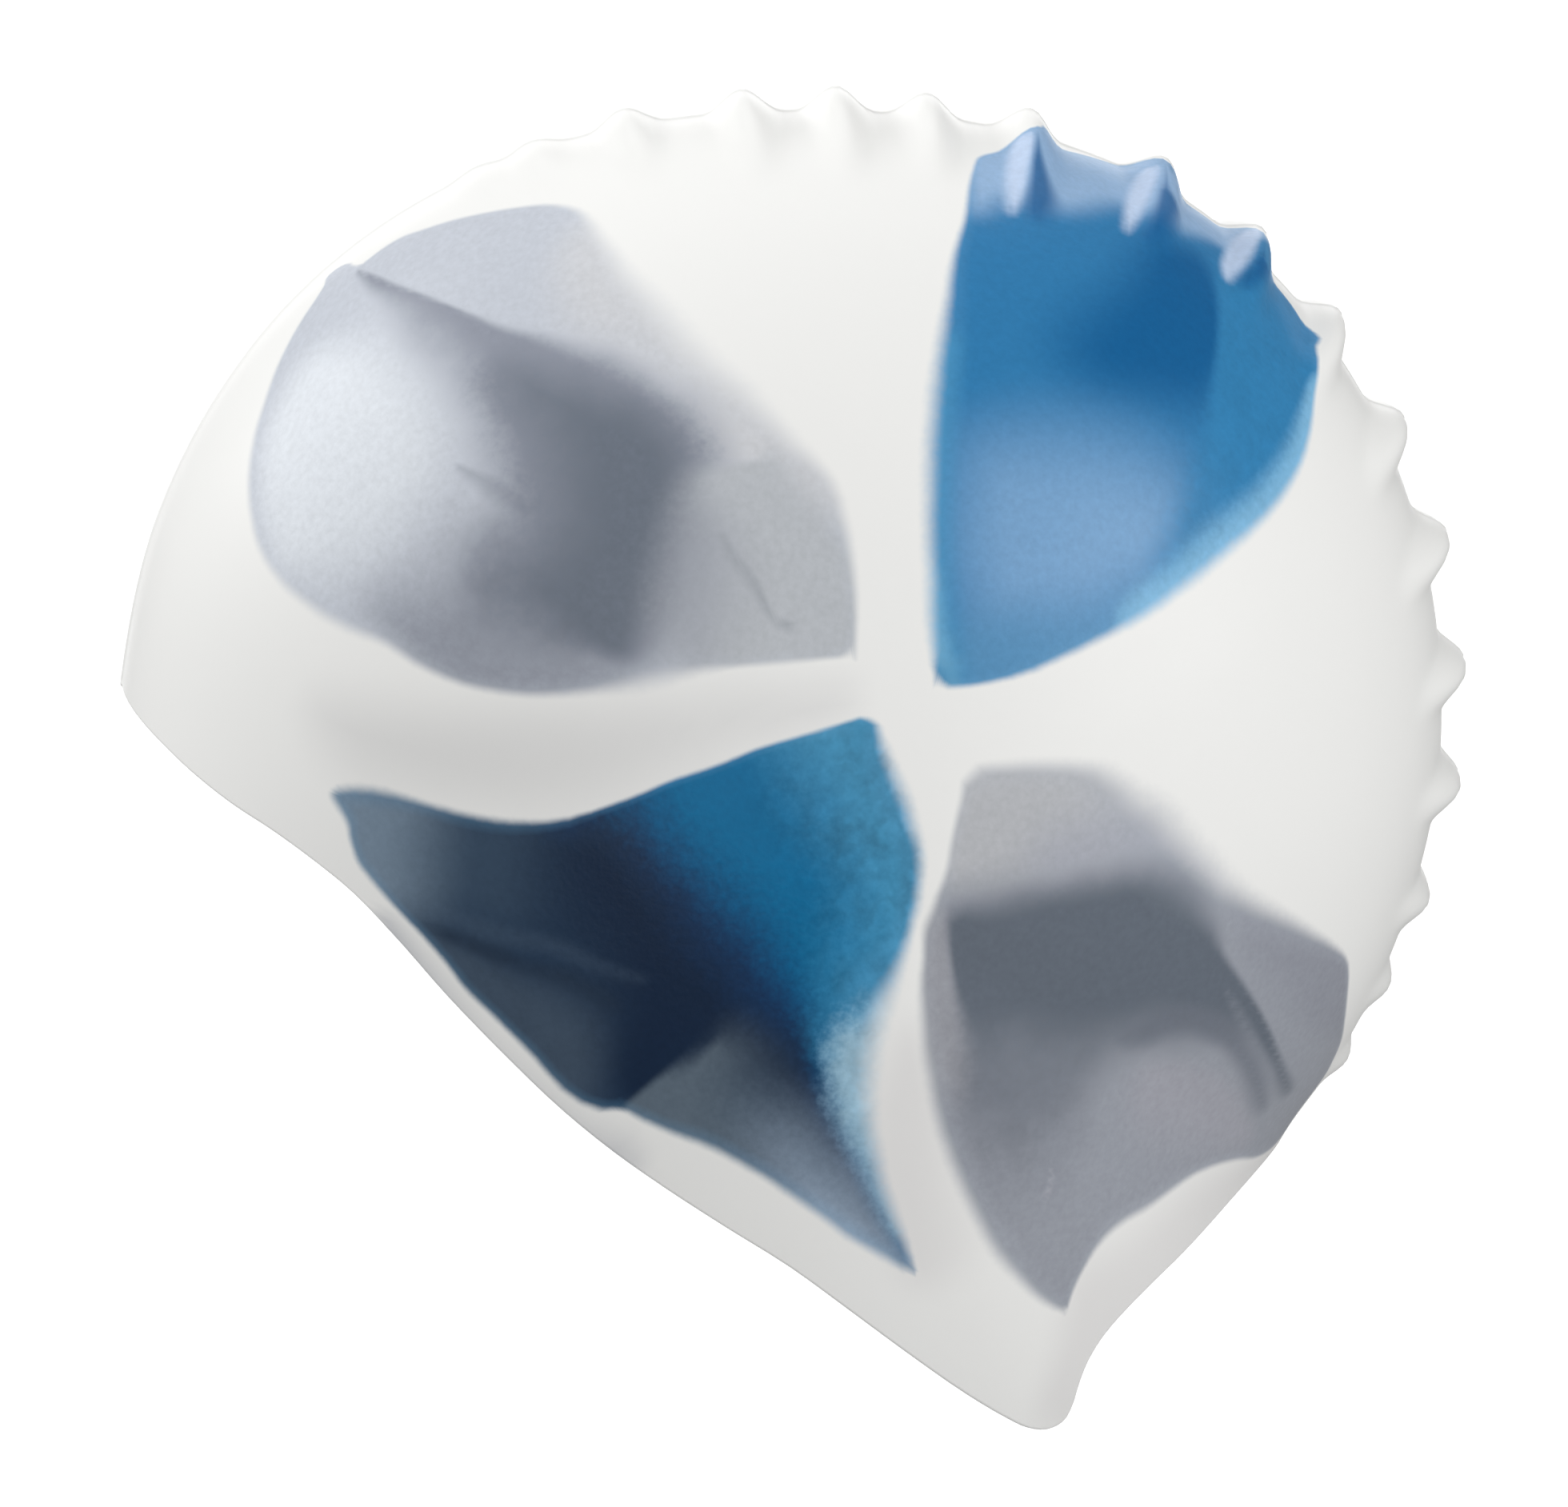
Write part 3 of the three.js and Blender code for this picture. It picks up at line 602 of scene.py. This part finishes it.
# Painted shade in the white below the fields, one partly pigment bled in, and zones where the pigment is
# veined like leather.
paintedShadeAndBleedTints = [
    # Painted shade across the white band below the upper field, darker towards the bottom.
    dict(tone=(219, 219, 218), strength=0.95, outline=[
        (400, 880, 50), (560, 890, 40), (760, 880, 40), (950, 860, 40), (1060, 860, 30), (1040, 900, 30),
        (880, 950, 40), (740, 1000, 40), (600, 1000, 40), (440, 960, 50),]),
    # Painted shade along the lower edge where the wall turns in, partly blue-grey pigment bled from the
    # field.
    dict(tone=(192, 194, 198), strength=0.95, outline=[
        (486, 1146, 14), (540, 1214, 20), (620, 1320, 25), (720, 1410, 25), (790, 1440, 25),
        (760, 1470, 16), (680, 1410, 16), (560, 1290, 16), (478, 1168, 14),]),
    # Painted shade over the rear flap.
    dict(tone=(223, 222, 221), strength=0.95, outline=[
        (1320, 1690, 30), (1350, 1590, 30), (1430, 1530, 30), (1530, 1460, 30), (1620, 1430, 20),
        (1600, 1520, 20), (1480, 1650, 20), (1360, 1790, 20), (1300, 1770, 20),]),
    # Painted shade over the flap between the lower fields.
    dict(tone=(223, 222, 221), strength=0.95, outline=[
        (1130, 1290, 20), (1170, 1330, 20), (1190, 1450, 30), (1200, 1560, 40), (1140, 1600, 20),
        (1090, 1480, 20), (1090, 1380, 20),]),
]
veinedZones = [
    dict(depth=1.0, outline=[
        (1040, 920, 40), (1110, 900, 20), (1170, 1080, 20), (1130, 1260, 20), (1080, 1480, 16),
        (1030, 1320, 16), (1010, 1180, 40), (960, 1060, 50),]),
    dict(depth=0.3, outline=[
        (540, 1150, 30), (640, 1170, 30), (760, 1220, 40), (780, 1320, 40), (680, 1330, 40),
        (580, 1240, 30),]),
    dict(depth=0.25, outline=[
        (560, 620, 40), (650, 620, 40), (700, 700, 40), (720, 820, 40), (600, 840, 40), (520, 760, 50),]),
    dict(depth=0.3, outline=[
        (1470, 560, 20), (1520, 440, 16), (1540, 320, 16), (1600, 330, 20), (1660, 440, 20),
        (1600, 640, 20), (1480, 740, 20), (1410, 760, 40),]),
    dict(depth=0.3, outline=[
        (1170, 1280, 30), (1330, 1310, 40), (1380, 1380, 50), (1300, 1500, 40), (1210, 1440, 30),]),
]

# The chart that the fields are laid out on: a flat disc round one side's hub. The crown line lies at its
# radius, and the other side goes on outside that. Lengths in metres.
chartRadius = 0.118
# The right side has the same fields mirrored, turned, drawn in and shifted a little, in other colours.
farSide = dict(turn=9, push=0.92, shift=(-0.009, -0.001), shading=(0.6, 1.3), veined=0.4, donors=dict(
    slateFront="blueBack", blueBack="slateBack", tealFront="slateFront", slateBack="tealFront"))
# The search for the place under a pixel. It starts on a grid of turns and rings that goes a little way
# past the crown line, where the surface faces the camera by more than facing.
search = dict(
    turnStep=1.0, rings=100, farthest=1.09, facing=0.08,
    steps=5, damping=2.0, most=0.0015,      # most: how far it may go from there, in metres
)
farOut = -25.0      # the reach of a point that is nowhere near a field


def chartPlace(turn, tilt, opposite):
    # Polar: the turn is the angle, and the radius grows evenly with the tilt, past the crown line too.
    out = tilt / (math.pi / 2)
    out = np.where(opposite, 2 - out, out) * chartRadius
    return np.stack([out * np.cos(np.radians(turn)), out * np.sin(np.radians(turn))], axis=-1)


def chartPoint(place):
    # The ribbed form's point at a place on the left side's chart.
    out = np.linalg.norm(place, axis=-1) / chartRadius
    turn = np.degrees(np.arctan2(place[..., 1], place[..., 0]))
    point = capPoint(turn, np.where(out > 1, 2 - out, out) * math.pi / 2, 0)
    point[..., 1] *= np.where(out > 1, -1, 1)
    return point + np.array(hub)


def chartStep(place, step=2e-4):
    # The form's point and its pixels' change for a step along each of the chart's two ways.
    point = chartPoint(place)
    ahead = [chartPoint(place + offset) for offset in ((step, 0), (0, step))]
    slopes = np.stack([(toPixels(p) - toPixels(point)) / step for p in ahead], axis=-1)
    normal = np.cross(ahead[0] - point, ahead[1] - point)
    return point, slopes, normal / np.linalg.norm(normal, axis=-1, keepdims=True)


def facingPlaces():
    # A grid of places on the chart whose surface faces the camera, and their pixels.
    outs = np.linspace(0.01, search["farthest"], search["rings"])
    turns, outs = np.meshgrid(np.arange(0, 360, search["turnStep"]), outs)
    places = chartPlace(turns, outs * math.pi / 2, False).reshape(-1, 2)
    point, _, normal = chartStep(places)
    away = np.array(cameraPlace) - point
    facing = np.sum(normal * away, axis=1) > search["facing"] * np.linalg.norm(away, axis=1)
    return places[facing], toPixels(point[facing])


knownPlaces, knownPixels = facingPlaces()


def castPixels(pixels):
    # The nearest known place on the picture, then damped Newton steps towards each pixel, kept short.
    gaps = ((knownPixels[None] - pixels[:, None]) ** 2).sum(-1)
    start = knownPlaces[gaps.argmin(axis=1)]
    place = start
    for _ in range(search["steps"]):
        point, slopes, _ = chartStep(place)
        slopes = slopes * 1e-3                              # pixels to a millimetre
        square = np.einsum("nij,nik->njk", slopes, slopes) + np.eye(2) * search["damping"]
        pull = np.einsum("nij,ni->nj", slopes, pixels - toPixels(point))
        move = place + np.linalg.solve(square, pull[..., None])[..., 0] * 1e-3 - start
        size = np.linalg.norm(move, axis=1, keepdims=True)
        place = start + move * np.minimum(1, search["most"] / np.maximum(size, 1e-9))
    return place


def closedCurve(rows, steps=5):
    # Closed Catmull-Rom curve through the rows, the softness with them. A doubled row makes a corner.
    a, b, c, d = (np.roll(rows, shift, axis=0)[:, None] for shift in (1, 0, -1, -2))
    t = (np.arange(steps) / steps)[None, :, None]
    curve = b + 0.5 * t * (c - a + t * (2 * a - 5 * b + 4 * c - d + t * (3 * (b - c) + d - a)))
    curve = curve.reshape(-1, rows.shape[1])
    far = np.linalg.norm(curve[:, :2] - np.roll(curve[:, :2], -1, axis=0), axis=1) > 1e-7
    return curve[far]


def evenCrest(places, above=0.84, passes=6):
    # Near the crown line one pixel spans centimetres of the surface, so an outline is evened out there.
    before = np.linalg.norm(places, axis=1) / chartRadius
    out = before
    for _ in range(passes):
        out = np.where(out > above, 0.25 * np.roll(out, 1) + 0.5 * out + 0.25 * np.roll(out, -1), out)
    return places * (out / before)[:, None]


def castOutline(outline, even=False):
    rows = np.array(outline, dtype=float)
    rows[:, :2] = castPixels(rows[:, :2])
    if even:
        rows[:, :2] = evenCrest(rows[:, :2])
    rows[:, 2] *= photo["pixelSize"]
    curve = closedCurve(rows)
    curve[:, 2] = np.maximum(curve[:, 2], photo["pixelSize"])
    return curve


def fieldReach(places, curve):
    # Signed reach into a closed curve: the least of distance over softness along it, positive inside.
    room = 0.010 + 1.5 * curve[:, 2].max()
    low, high = curve[:, :2].min(axis=0) - room, curve[:, :2].max(axis=0) + room
    near = np.all((places > low) & (places < high), axis=1)
    u, v = places[near].T
    best = np.full(len(u), 1e9)
    inside = np.zeros(len(u), dtype=bool)
    for (au, av, aSoft), (bu, bv, bSoft) in zip(curve, np.roll(curve, -1, axis=0)):
        du, dv = bu - au, bv - av
        t = np.clip(((u - au) * du + (v - av) * dv) / (du * du + dv * dv), 0, 1)
        gap = np.hypot(u - au - t * du, v - av - t * dv) / (aSoft + (bSoft - aSoft) * t)
        best = np.minimum(best, gap)
        if av != bv:
            inside ^= ((av > v) != (bv > v)) & (u < au + du * (v - av) / dv)
    reach = np.full(len(places), farOut)
    reach[near] = np.where(inside, best, -best)
    return reach


def toneReach(places, curves):
    return np.max([fieldReach(places, curve) for curve in curves], axis=0)


def linear(tone):
    # sRGB bytes to a linear colour.
    share = np.array(tone) / 255
    return np.where(share <= 0.04045, share / 12.92, ((share + 0.055) / 1.055) ** 2.4)


def smoothStep(reach):
    t = np.clip((reach + 1) / 2, 0, 1)
    return t * t * (3 - 2 * t)


def storeShare(mesh, name, values):
    mesh.attributes.new(name, "FLOAT", "POINT").data.foreach_set("value", values.astype(np.float32))


def storeColour(mesh, name, tones):
    rows = np.column_stack([tones, np.ones(len(tones))]).astype(np.float32)
    mesh.attributes.new(name, "FLOAT_COLOR", "POINT").data.foreach_set("color", rows.ravel())


def storeFields(mesh, lookup):
    # For each family of pigments: the reach of its fields, and the blurred tones' colour of whichever
    # field reaches furthest. The right side takes every tone that way, in its own colours.
    left = lookup["side"] == 1
    leftPlaces = chartPlace(lookup["turn"], lookup["tilt"], ~left)
    rightPlaces = chartPlace(lookup["turn"] - farSide["turn"], lookup["tilt"], left)
    rightPlaces = (rightPlaces - farSide["shift"]) / farSide["push"]
    count = len(leftPlaces)
    reaches = {family: np.full(count, farOut) for family in ("slate", "blue")}
    colours = {family: np.tile(linear(whiteTone), (count, 1)) for family in ("slate", "blue")}
    for name, field in fields.items():
        outline = castOutline(field["outline"], even=True)
        tones = [(tone, [castOutline(rows) for rows in tone["outlines"]]) for tone in field["tones"]]
        donor = fields[farSide["donors"][name]]
        for places, look, onRight in ((leftPlaces, field, False), (rightPlaces, donor, True)):
            reach = fieldReach(places, outline)
            inner = np.tile(linear(look["tone"]), (count, 1))
            for tone, curves in tones:
                if tone["crisp"] and not onRight:
                    continue
                mask = smoothStep(toneReach(places, curves)) * tone["strength"]
                colour = linear(tone["tone"])
                # On the right side every tone, painted highlights and painted shade too, becomes the donor's
                # colour made lighter or darker by that tone's lightness.
                if onRight:
                    lighter = math.sqrt(colour.sum() / linear(field["tone"]).sum())
                    colour = linear(look["tone"]) * np.clip(lighter, *farSide["shading"])
                inner += mask[:, None] * (colour - inner)
            ahead = reach > reaches[look["family"]]
            reaches[look["family"]][ahead] = reach[ahead]
            colours[look["family"]][ahead] = inner[ahead]
        for tone, curves in tones:
            if tone["crisp"]:
                storeShare(mesh, tone["name"], toneReach(leftPlaces, curves))
    for family in reaches:
        storeShare(mesh, family + "Reach", reaches[family])
        storeColour(mesh, family + "Colour", colours[family])
    body = np.tile(linear(whiteTone), (count, 1))
    veined = np.zeros(count)
    for places, share in ((leftPlaces, 1), (rightPlaces, farSide["veined"])):
        # The white takes the painted shade, and the bled pigment, from the tints.
        for tint in paintedShadeAndBleedTints:
            mask = smoothStep(fieldReach(places, castOutline(tint["outline"]))) * tint["strength"]
            body += mask[:, None] * (linear(tint["tone"]) - body)
        for zone in veinedZones:
            mask = smoothStep(fieldReach(places, castOutline(zone["outline"])))
            veined = np.maximum(veined, mask * zone["depth"] * share)
    storeColour(mesh, "bodyColourAndPaintedShade", body)
    storeShare(mesh, "veined", veined)


def newGroup(name, inputs, outputs):
    group = bpy.data.node_groups.new(name, "ShaderNodeTree")
    for socketName, kind, default in inputs:
        socket = group.interface.new_socket(socketName, in_out="INPUT", socket_type=kind)
        socket.default_value = default
    for socketName, kind in outputs:
        group.interface.new_socket(socketName, in_out="OUTPUT", socket_type=kind)
    return group, group.nodes.new("NodeGroupInput").outputs, group.nodes.new("NodeGroupOutput").inputs


def mathNode(tree, operation, *values):
    node = tree.nodes.new("ShaderNodeMath")
    node.operation = operation
    for socket, value in zip(node.inputs, values):
        if isinstance(value, bpy.types.NodeSocket):
            tree.links.new(value, socket)
        else:
            socket.default_value = value
    return node.outputs[0]


def mixColour(tree, factor, under, over):
    node = tree.nodes.new("ShaderNodeMix")
    node.data_type = "RGBA"
    for socket, value in ((node.inputs[0], factor), (node.inputs[6], under), (node.inputs[7], over)):
        if isinstance(value, bpy.types.NodeSocket):
            tree.links.new(value, socket)
        else:
            socket.default_value = value
    return node.outputs[2]


def rangeNode(tree, value, ends, smooth=False):
    # ends: from and to in the value, and from and to in the result.
    node = tree.nodes.new("ShaderNodeMapRange")
    node.interpolation_type = "SMOOTHSTEP" if smooth else "LINEAR"
    tree.links.new(value, node.inputs["Value"])
    for name, end in zip(("From Min", "From Max", "To Min", "To Max"), ends):
        node.inputs[name].default_value = end
    return node.outputs["Result"]


def makePigmentGroup():
    # One pigment over another: its reach, ragged by the grain, through a smooth step from -1 to 1.
    group, given, result = newGroup("pigmentLayer", [
        ("Under", "NodeSocketColor", (1, 1, 1, 1)), ("Pigment", "NodeSocketColor", (1, 1, 1, 1)),
        ("Reach", "NodeSocketFloat", -1.0), ("Grain", "NodeSocketFloat", 0.0),
        ("Ragged", "NodeSocketFloat", 0.5), ("Strength", "NodeSocketFloat", 1.0),
    ], [("Colour", "NodeSocketColor"), ("Mask", "NodeSocketFloat")])
    ragged = mathNode(group, "MULTIPLY_ADD", given["Grain"], given["Ragged"], given["Reach"])
    mask = rangeNode(group, ragged, (-1, 1, 0, 1), smooth=True)
    mask = mathNode(group, "MULTIPLY", mask, given["Strength"])
    group.links.new(mixColour(group, mask, given["Under"], given["Pigment"]), result["Colour"])
    group.links.new(mask, result["Mask"])
    return group


# A row of four: from and to in the value that it goes over, then from and to in the result.
siliconeFinish = dict(
    roughness=(0, 1, 0.28, 0.40),           # over the broad grain
    specular=0.1,
    broadGrain=110,                         # noise scales, in features to a metre
    fineGrain=900,
    veinGrain=300,
    creaseScale=230,
    creaseBend=0.006,                       # metres
    # The creases darken the colour as painted shade along their lines, with no relief in the bump.
    crease=(0, 0.3, -1, 0),                 # from a cell's edge inwards
    creasePatches=(0.42, 0.6, 0, 0.13),     # over the broad grain
    veinShare=0.45,
    mottleShade=1.3,
    speckleShade=0.22,
    bumpHeight=0.7,
    bumpStrength=0.5,
    bumpDistance=0.00012,                   # metres
    rim=(0, 2.5, 0.22, 0),                  # over the reach into a field
    slateRim=(190, 197, 207),
    blueRim=(112, 168, 208),
)


def noiseNode(tree, place, scale):
    node = tree.nodes.new("ShaderNodeTexNoise")
    tree.links.new(place, node.inputs["Vector"])
    for name, value in (("Scale", scale), ("Detail", 2), ("Roughness", 0.55)):
        node.inputs[name].default_value = value
    return node.outputs[0]


def makeSilicone():
    finish = siliconeFinish
    pigment = makePigmentGroup()
    material = bpy.data.materials.new("mouldedSilicone")
    material.use_nodes = True
    tree = material.node_tree
    shader = next(node for node in tree.nodes if node.type == "BSDF_PRINCIPLED")
    place = tree.nodes.new("ShaderNodeTexCoord").outputs["Object"]
    broad = noiseNode(tree, place, finish["broadGrain"])
    fine = noiseNode(tree, place, finish["fineGrain"])
    veins = noiseNode(tree, place, finish["veinGrain"])
    swings = [mathNode(tree, "SUBTRACT", noise, 0.5) for noise in (broad, fine)]
    grain = mathNode(tree, "ADD", *swings)

    def attributeNode(name, output="Fac"):
        node = tree.nodes.new("ShaderNodeAttribute")
        node.attribute_name = name
        return node.outputs[output]

    def addLayer(under, reachName, tone, strength=1, ragged=0.35):
        node = tree.nodes.new("ShaderNodeGroup")
        node.node_tree = pigment
        for socket, value in (("Under", under), ("Pigment", tone)):
            if isinstance(value, bpy.types.NodeSocket):
                tree.links.new(value, node.inputs[socket])
            else:
                node.inputs[socket].default_value = (*linear(value), 1)
        tree.links.new(attributeNode(reachName), node.inputs["Reach"])
        tree.links.new(grain, node.inputs["Grain"])
        node.inputs["Ragged"].default_value = ragged
        node.inputs["Strength"].default_value = strength
        return node.outputs["Colour"], node.outputs["Mask"]

    # The white with its painted shade under the pigments.
    colour, masks = attributeNode("bodyColourAndPaintedShade", "Color"), []
    for family in ("slate", "blue"):
        inner = attributeNode(family + "Colour", "Color")
        # Crisp tones over the blurred ones, the painted rib highlights and painted rib shade among them.
        for field in fields.values():
            for tone in field["tones"]:
                if field["family"] == family and tone["crisp"]:
                    inner, _ = addLayer(inner, *(tone[key] for key in ("name", "tone", "strength", "ragged")))
        # A thin paler rim just inside the field's edge.
        rim = rangeNode(tree, attributeNode(family + "Reach"), finish["rim"])
        inner = mixColour(tree, rim, inner, (*linear(finish[family + "Rim"]), 1))
        colour, mask = addLayer(colour, family + "Reach", inner)
        masks.append(mask)
    pigmented = mathNode(tree, "MAXIMUM", *masks)

    # Veins and grain lighten and darken the pigment, creases darken it as painted shade along their lines,
    # and veins and grain stand out a little.
    veined = mathNode(tree, "MULTIPLY", attributeNode("veined"), pigmented)
    swing = mathNode(tree, "SUBTRACT", veins, 0.5)
    cells = tree.nodes.new("ShaderNodeTexVoronoi")
    cells.feature = "DISTANCE_TO_EDGE"
    cells.inputs["Scale"].default_value = finish["creaseScale"]
    bent = tree.nodes.new("ShaderNodeVectorMath")
    bent.operation = "MULTIPLY_ADD"
    tree.links.new(veins.node.outputs["Color"], bent.inputs[0])
    bent.inputs[1].default_value = (finish["creaseBend"],) * 3
    tree.links.new(place, bent.inputs[2])
    tree.links.new(bent.outputs[0], cells.inputs["Vector"])
    crease = rangeNode(tree, cells.outputs["Distance"], finish["crease"], smooth=True)
    creasePaintedShade = mathNode(tree, "MULTIPLY", crease, rangeNode(tree, broad, finish["creasePatches"]))
    mottle = mathNode(tree, "MULTIPLY_ADD", swing, finish["veinShare"], creasePaintedShade)
    mottle = mathNode(tree, "MULTIPLY", mottle, veined)
    speckle = mathNode(tree, "MULTIPLY", swings[1], pigmented)
    shade = mathNode(tree, "MULTIPLY_ADD", mottle, finish["mottleShade"], 1.0)
    shade = mathNode(tree, "MULTIPLY_ADD", speckle, finish["speckleShade"], shade)
    scale = tree.nodes.new("ShaderNodeVectorMath")
    scale.operation = "SCALE"
    tree.links.new(colour, scale.inputs[0])
    tree.links.new(shade, scale.inputs["Scale"])
    tree.links.new(scale.outputs[0], shader.inputs["Base Color"])

    height = mathNode(tree, "MULTIPLY_ADD", swing, veined, speckle)
    height = mathNode(tree, "MULTIPLY", height, finish["bumpHeight"])
    bump = tree.nodes.new("ShaderNodeBump")
    bump.inputs["Strength"].default_value = finish["bumpStrength"]
    bump.inputs["Distance"].default_value = finish["bumpDistance"]
    tree.links.new(height, bump.inputs["Height"])
    tree.links.new(bump.outputs[0], shader.inputs["Normal"])
    rough = rangeNode(tree, broad, finish["roughness"])
    tree.links.new(rough, shader.inputs["Roughness"])
    shader.inputs["Specular IOR Level"].default_value = finish["specular"]
    return material


mesh, lookup = makeShellMesh()
storeFields(mesh, lookup)
mesh.materials.append(makeSilicone())
shell = bpy.data.objects.new("siliconeShell", mesh)
bpy.context.collection.objects.link(shell)
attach(shell, "root")
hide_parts("cap_shell")
print("fields stored:", len(mesh.attributes))


# A pale floor a metre below and soft boxes that face the hub. Sizes and distances in metres, angles in
# degrees as the camera's, power in watts.
studio = dict(
    floorDrop=1.0, floorSize=60, floorTone=(150, 150, 150), floorRoughness=0.9, floorSpecular=0.1,
    floorGlow=(0.3, 2.2, 0.5, 1.2),     # from and to metres out, and how strong at each
    glowCast=0.12,                      # share of the glow that lights the cap
    world=0.26,                         # strength of the room's light; the camera sees it at 1
    boxDistance=1.6,
    boxes=[
        # name, azimuth, elevation, size, power
        ("rightBox", 57, 17, 1.0, 14.5), ("leftBox", -106, 34, 1.0, 19), ("frontBox", -10, 6, 1.2, 9),
        ("topBox", -60, 74, 1.0, 2.5), ("highBox", 172, 60, 1.2, 6), ("rearBox", 178, 5, 1.2, 9),
    ],
)


def makeStudio():
    size, low = studio["floorSize"] / 2, hub.z - studio["floorDrop"]
    floorMesh = bpy.data.meshes.new("paleFloor")
    floorMesh.from_pydata([(-size, -size, low), (size, -size, low), (size, size, low), (-size, size, low)],
                          [], [(0, 1, 2, 3)])
    floor = bpy.data.objects.new("paleFloor", floorMesh)
    bpy.context.collection.objects.link(floor)
    material = bpy.data.materials.new("palePaper")
    material.use_nodes = True
    tree = material.node_tree
    shader = next(node for node in tree.nodes if node.type == "BSDF_PRINCIPLED")
    shader.inputs["Base Color"].default_value = (*linear(studio["floorTone"]), 1)
    shader.inputs["Roughness"].default_value = studio["floorRoughness"]
    shader.inputs["Specular IOR Level"].default_value = studio["floorSpecular"]
    # The paper glows a little further out, so that it reads as white behind the cap.
    length = tree.nodes.new("ShaderNodeVectorMath")
    length.operation = "LENGTH"
    tree.links.new(tree.nodes.new("ShaderNodeTexCoord").outputs["Object"], length.inputs[0])
    glow = rangeNode(tree, length.outputs["Value"], studio["floorGlow"], smooth=True)
    seen = tree.nodes.new("ShaderNodeLightPath").outputs["Is Camera Ray"]
    cast = mathNode(tree, "MULTIPLY", glow, rangeNode(tree, seen, (0, 1, studio["glowCast"], 1)))
    shader.inputs["Emission Color"].default_value = (1, 1, 1, 1)
    tree.links.new(cast, shader.inputs["Emission Strength"])
    floorMesh.materials.append(material)

    world = bpy.data.worlds.new("whiteRoom")
    world.use_nodes = True
    tree = world.node_tree
    background = next(node for node in tree.nodes if node.type == "BACKGROUND")
    background.inputs["Color"].default_value = (1, 1, 1, 1)
    seen = tree.nodes.new("ShaderNodeLightPath").outputs["Is Camera Ray"]
    tree.links.new(rangeNode(tree, seen, (0, 1, studio["world"], 1)), background.inputs["Strength"])
    bpy.context.scene.world = world
    for name, azimuth, elevation, size, power in studio["boxes"]:
        light = bpy.data.lights.new(name, "AREA")
        light.size, light.energy = size, power
        lamp = bpy.data.objects.new(name, light)
        turn, rise = math.radians(azimuth), math.radians(elevation)
        back = Vector((math.sin(turn) * math.cos(rise), -math.cos(turn) * math.cos(rise), math.sin(rise)))
        lamp.location = hub + back * studio["boxDistance"]
        lamp.rotation_euler = back.to_track_quat("Z", "Y").to_euler()
        bpy.context.collection.objects.link(lamp)
    bpy.context.scene.view_settings.view_transform = "Standard"


makeStudio()
print("studio lit")
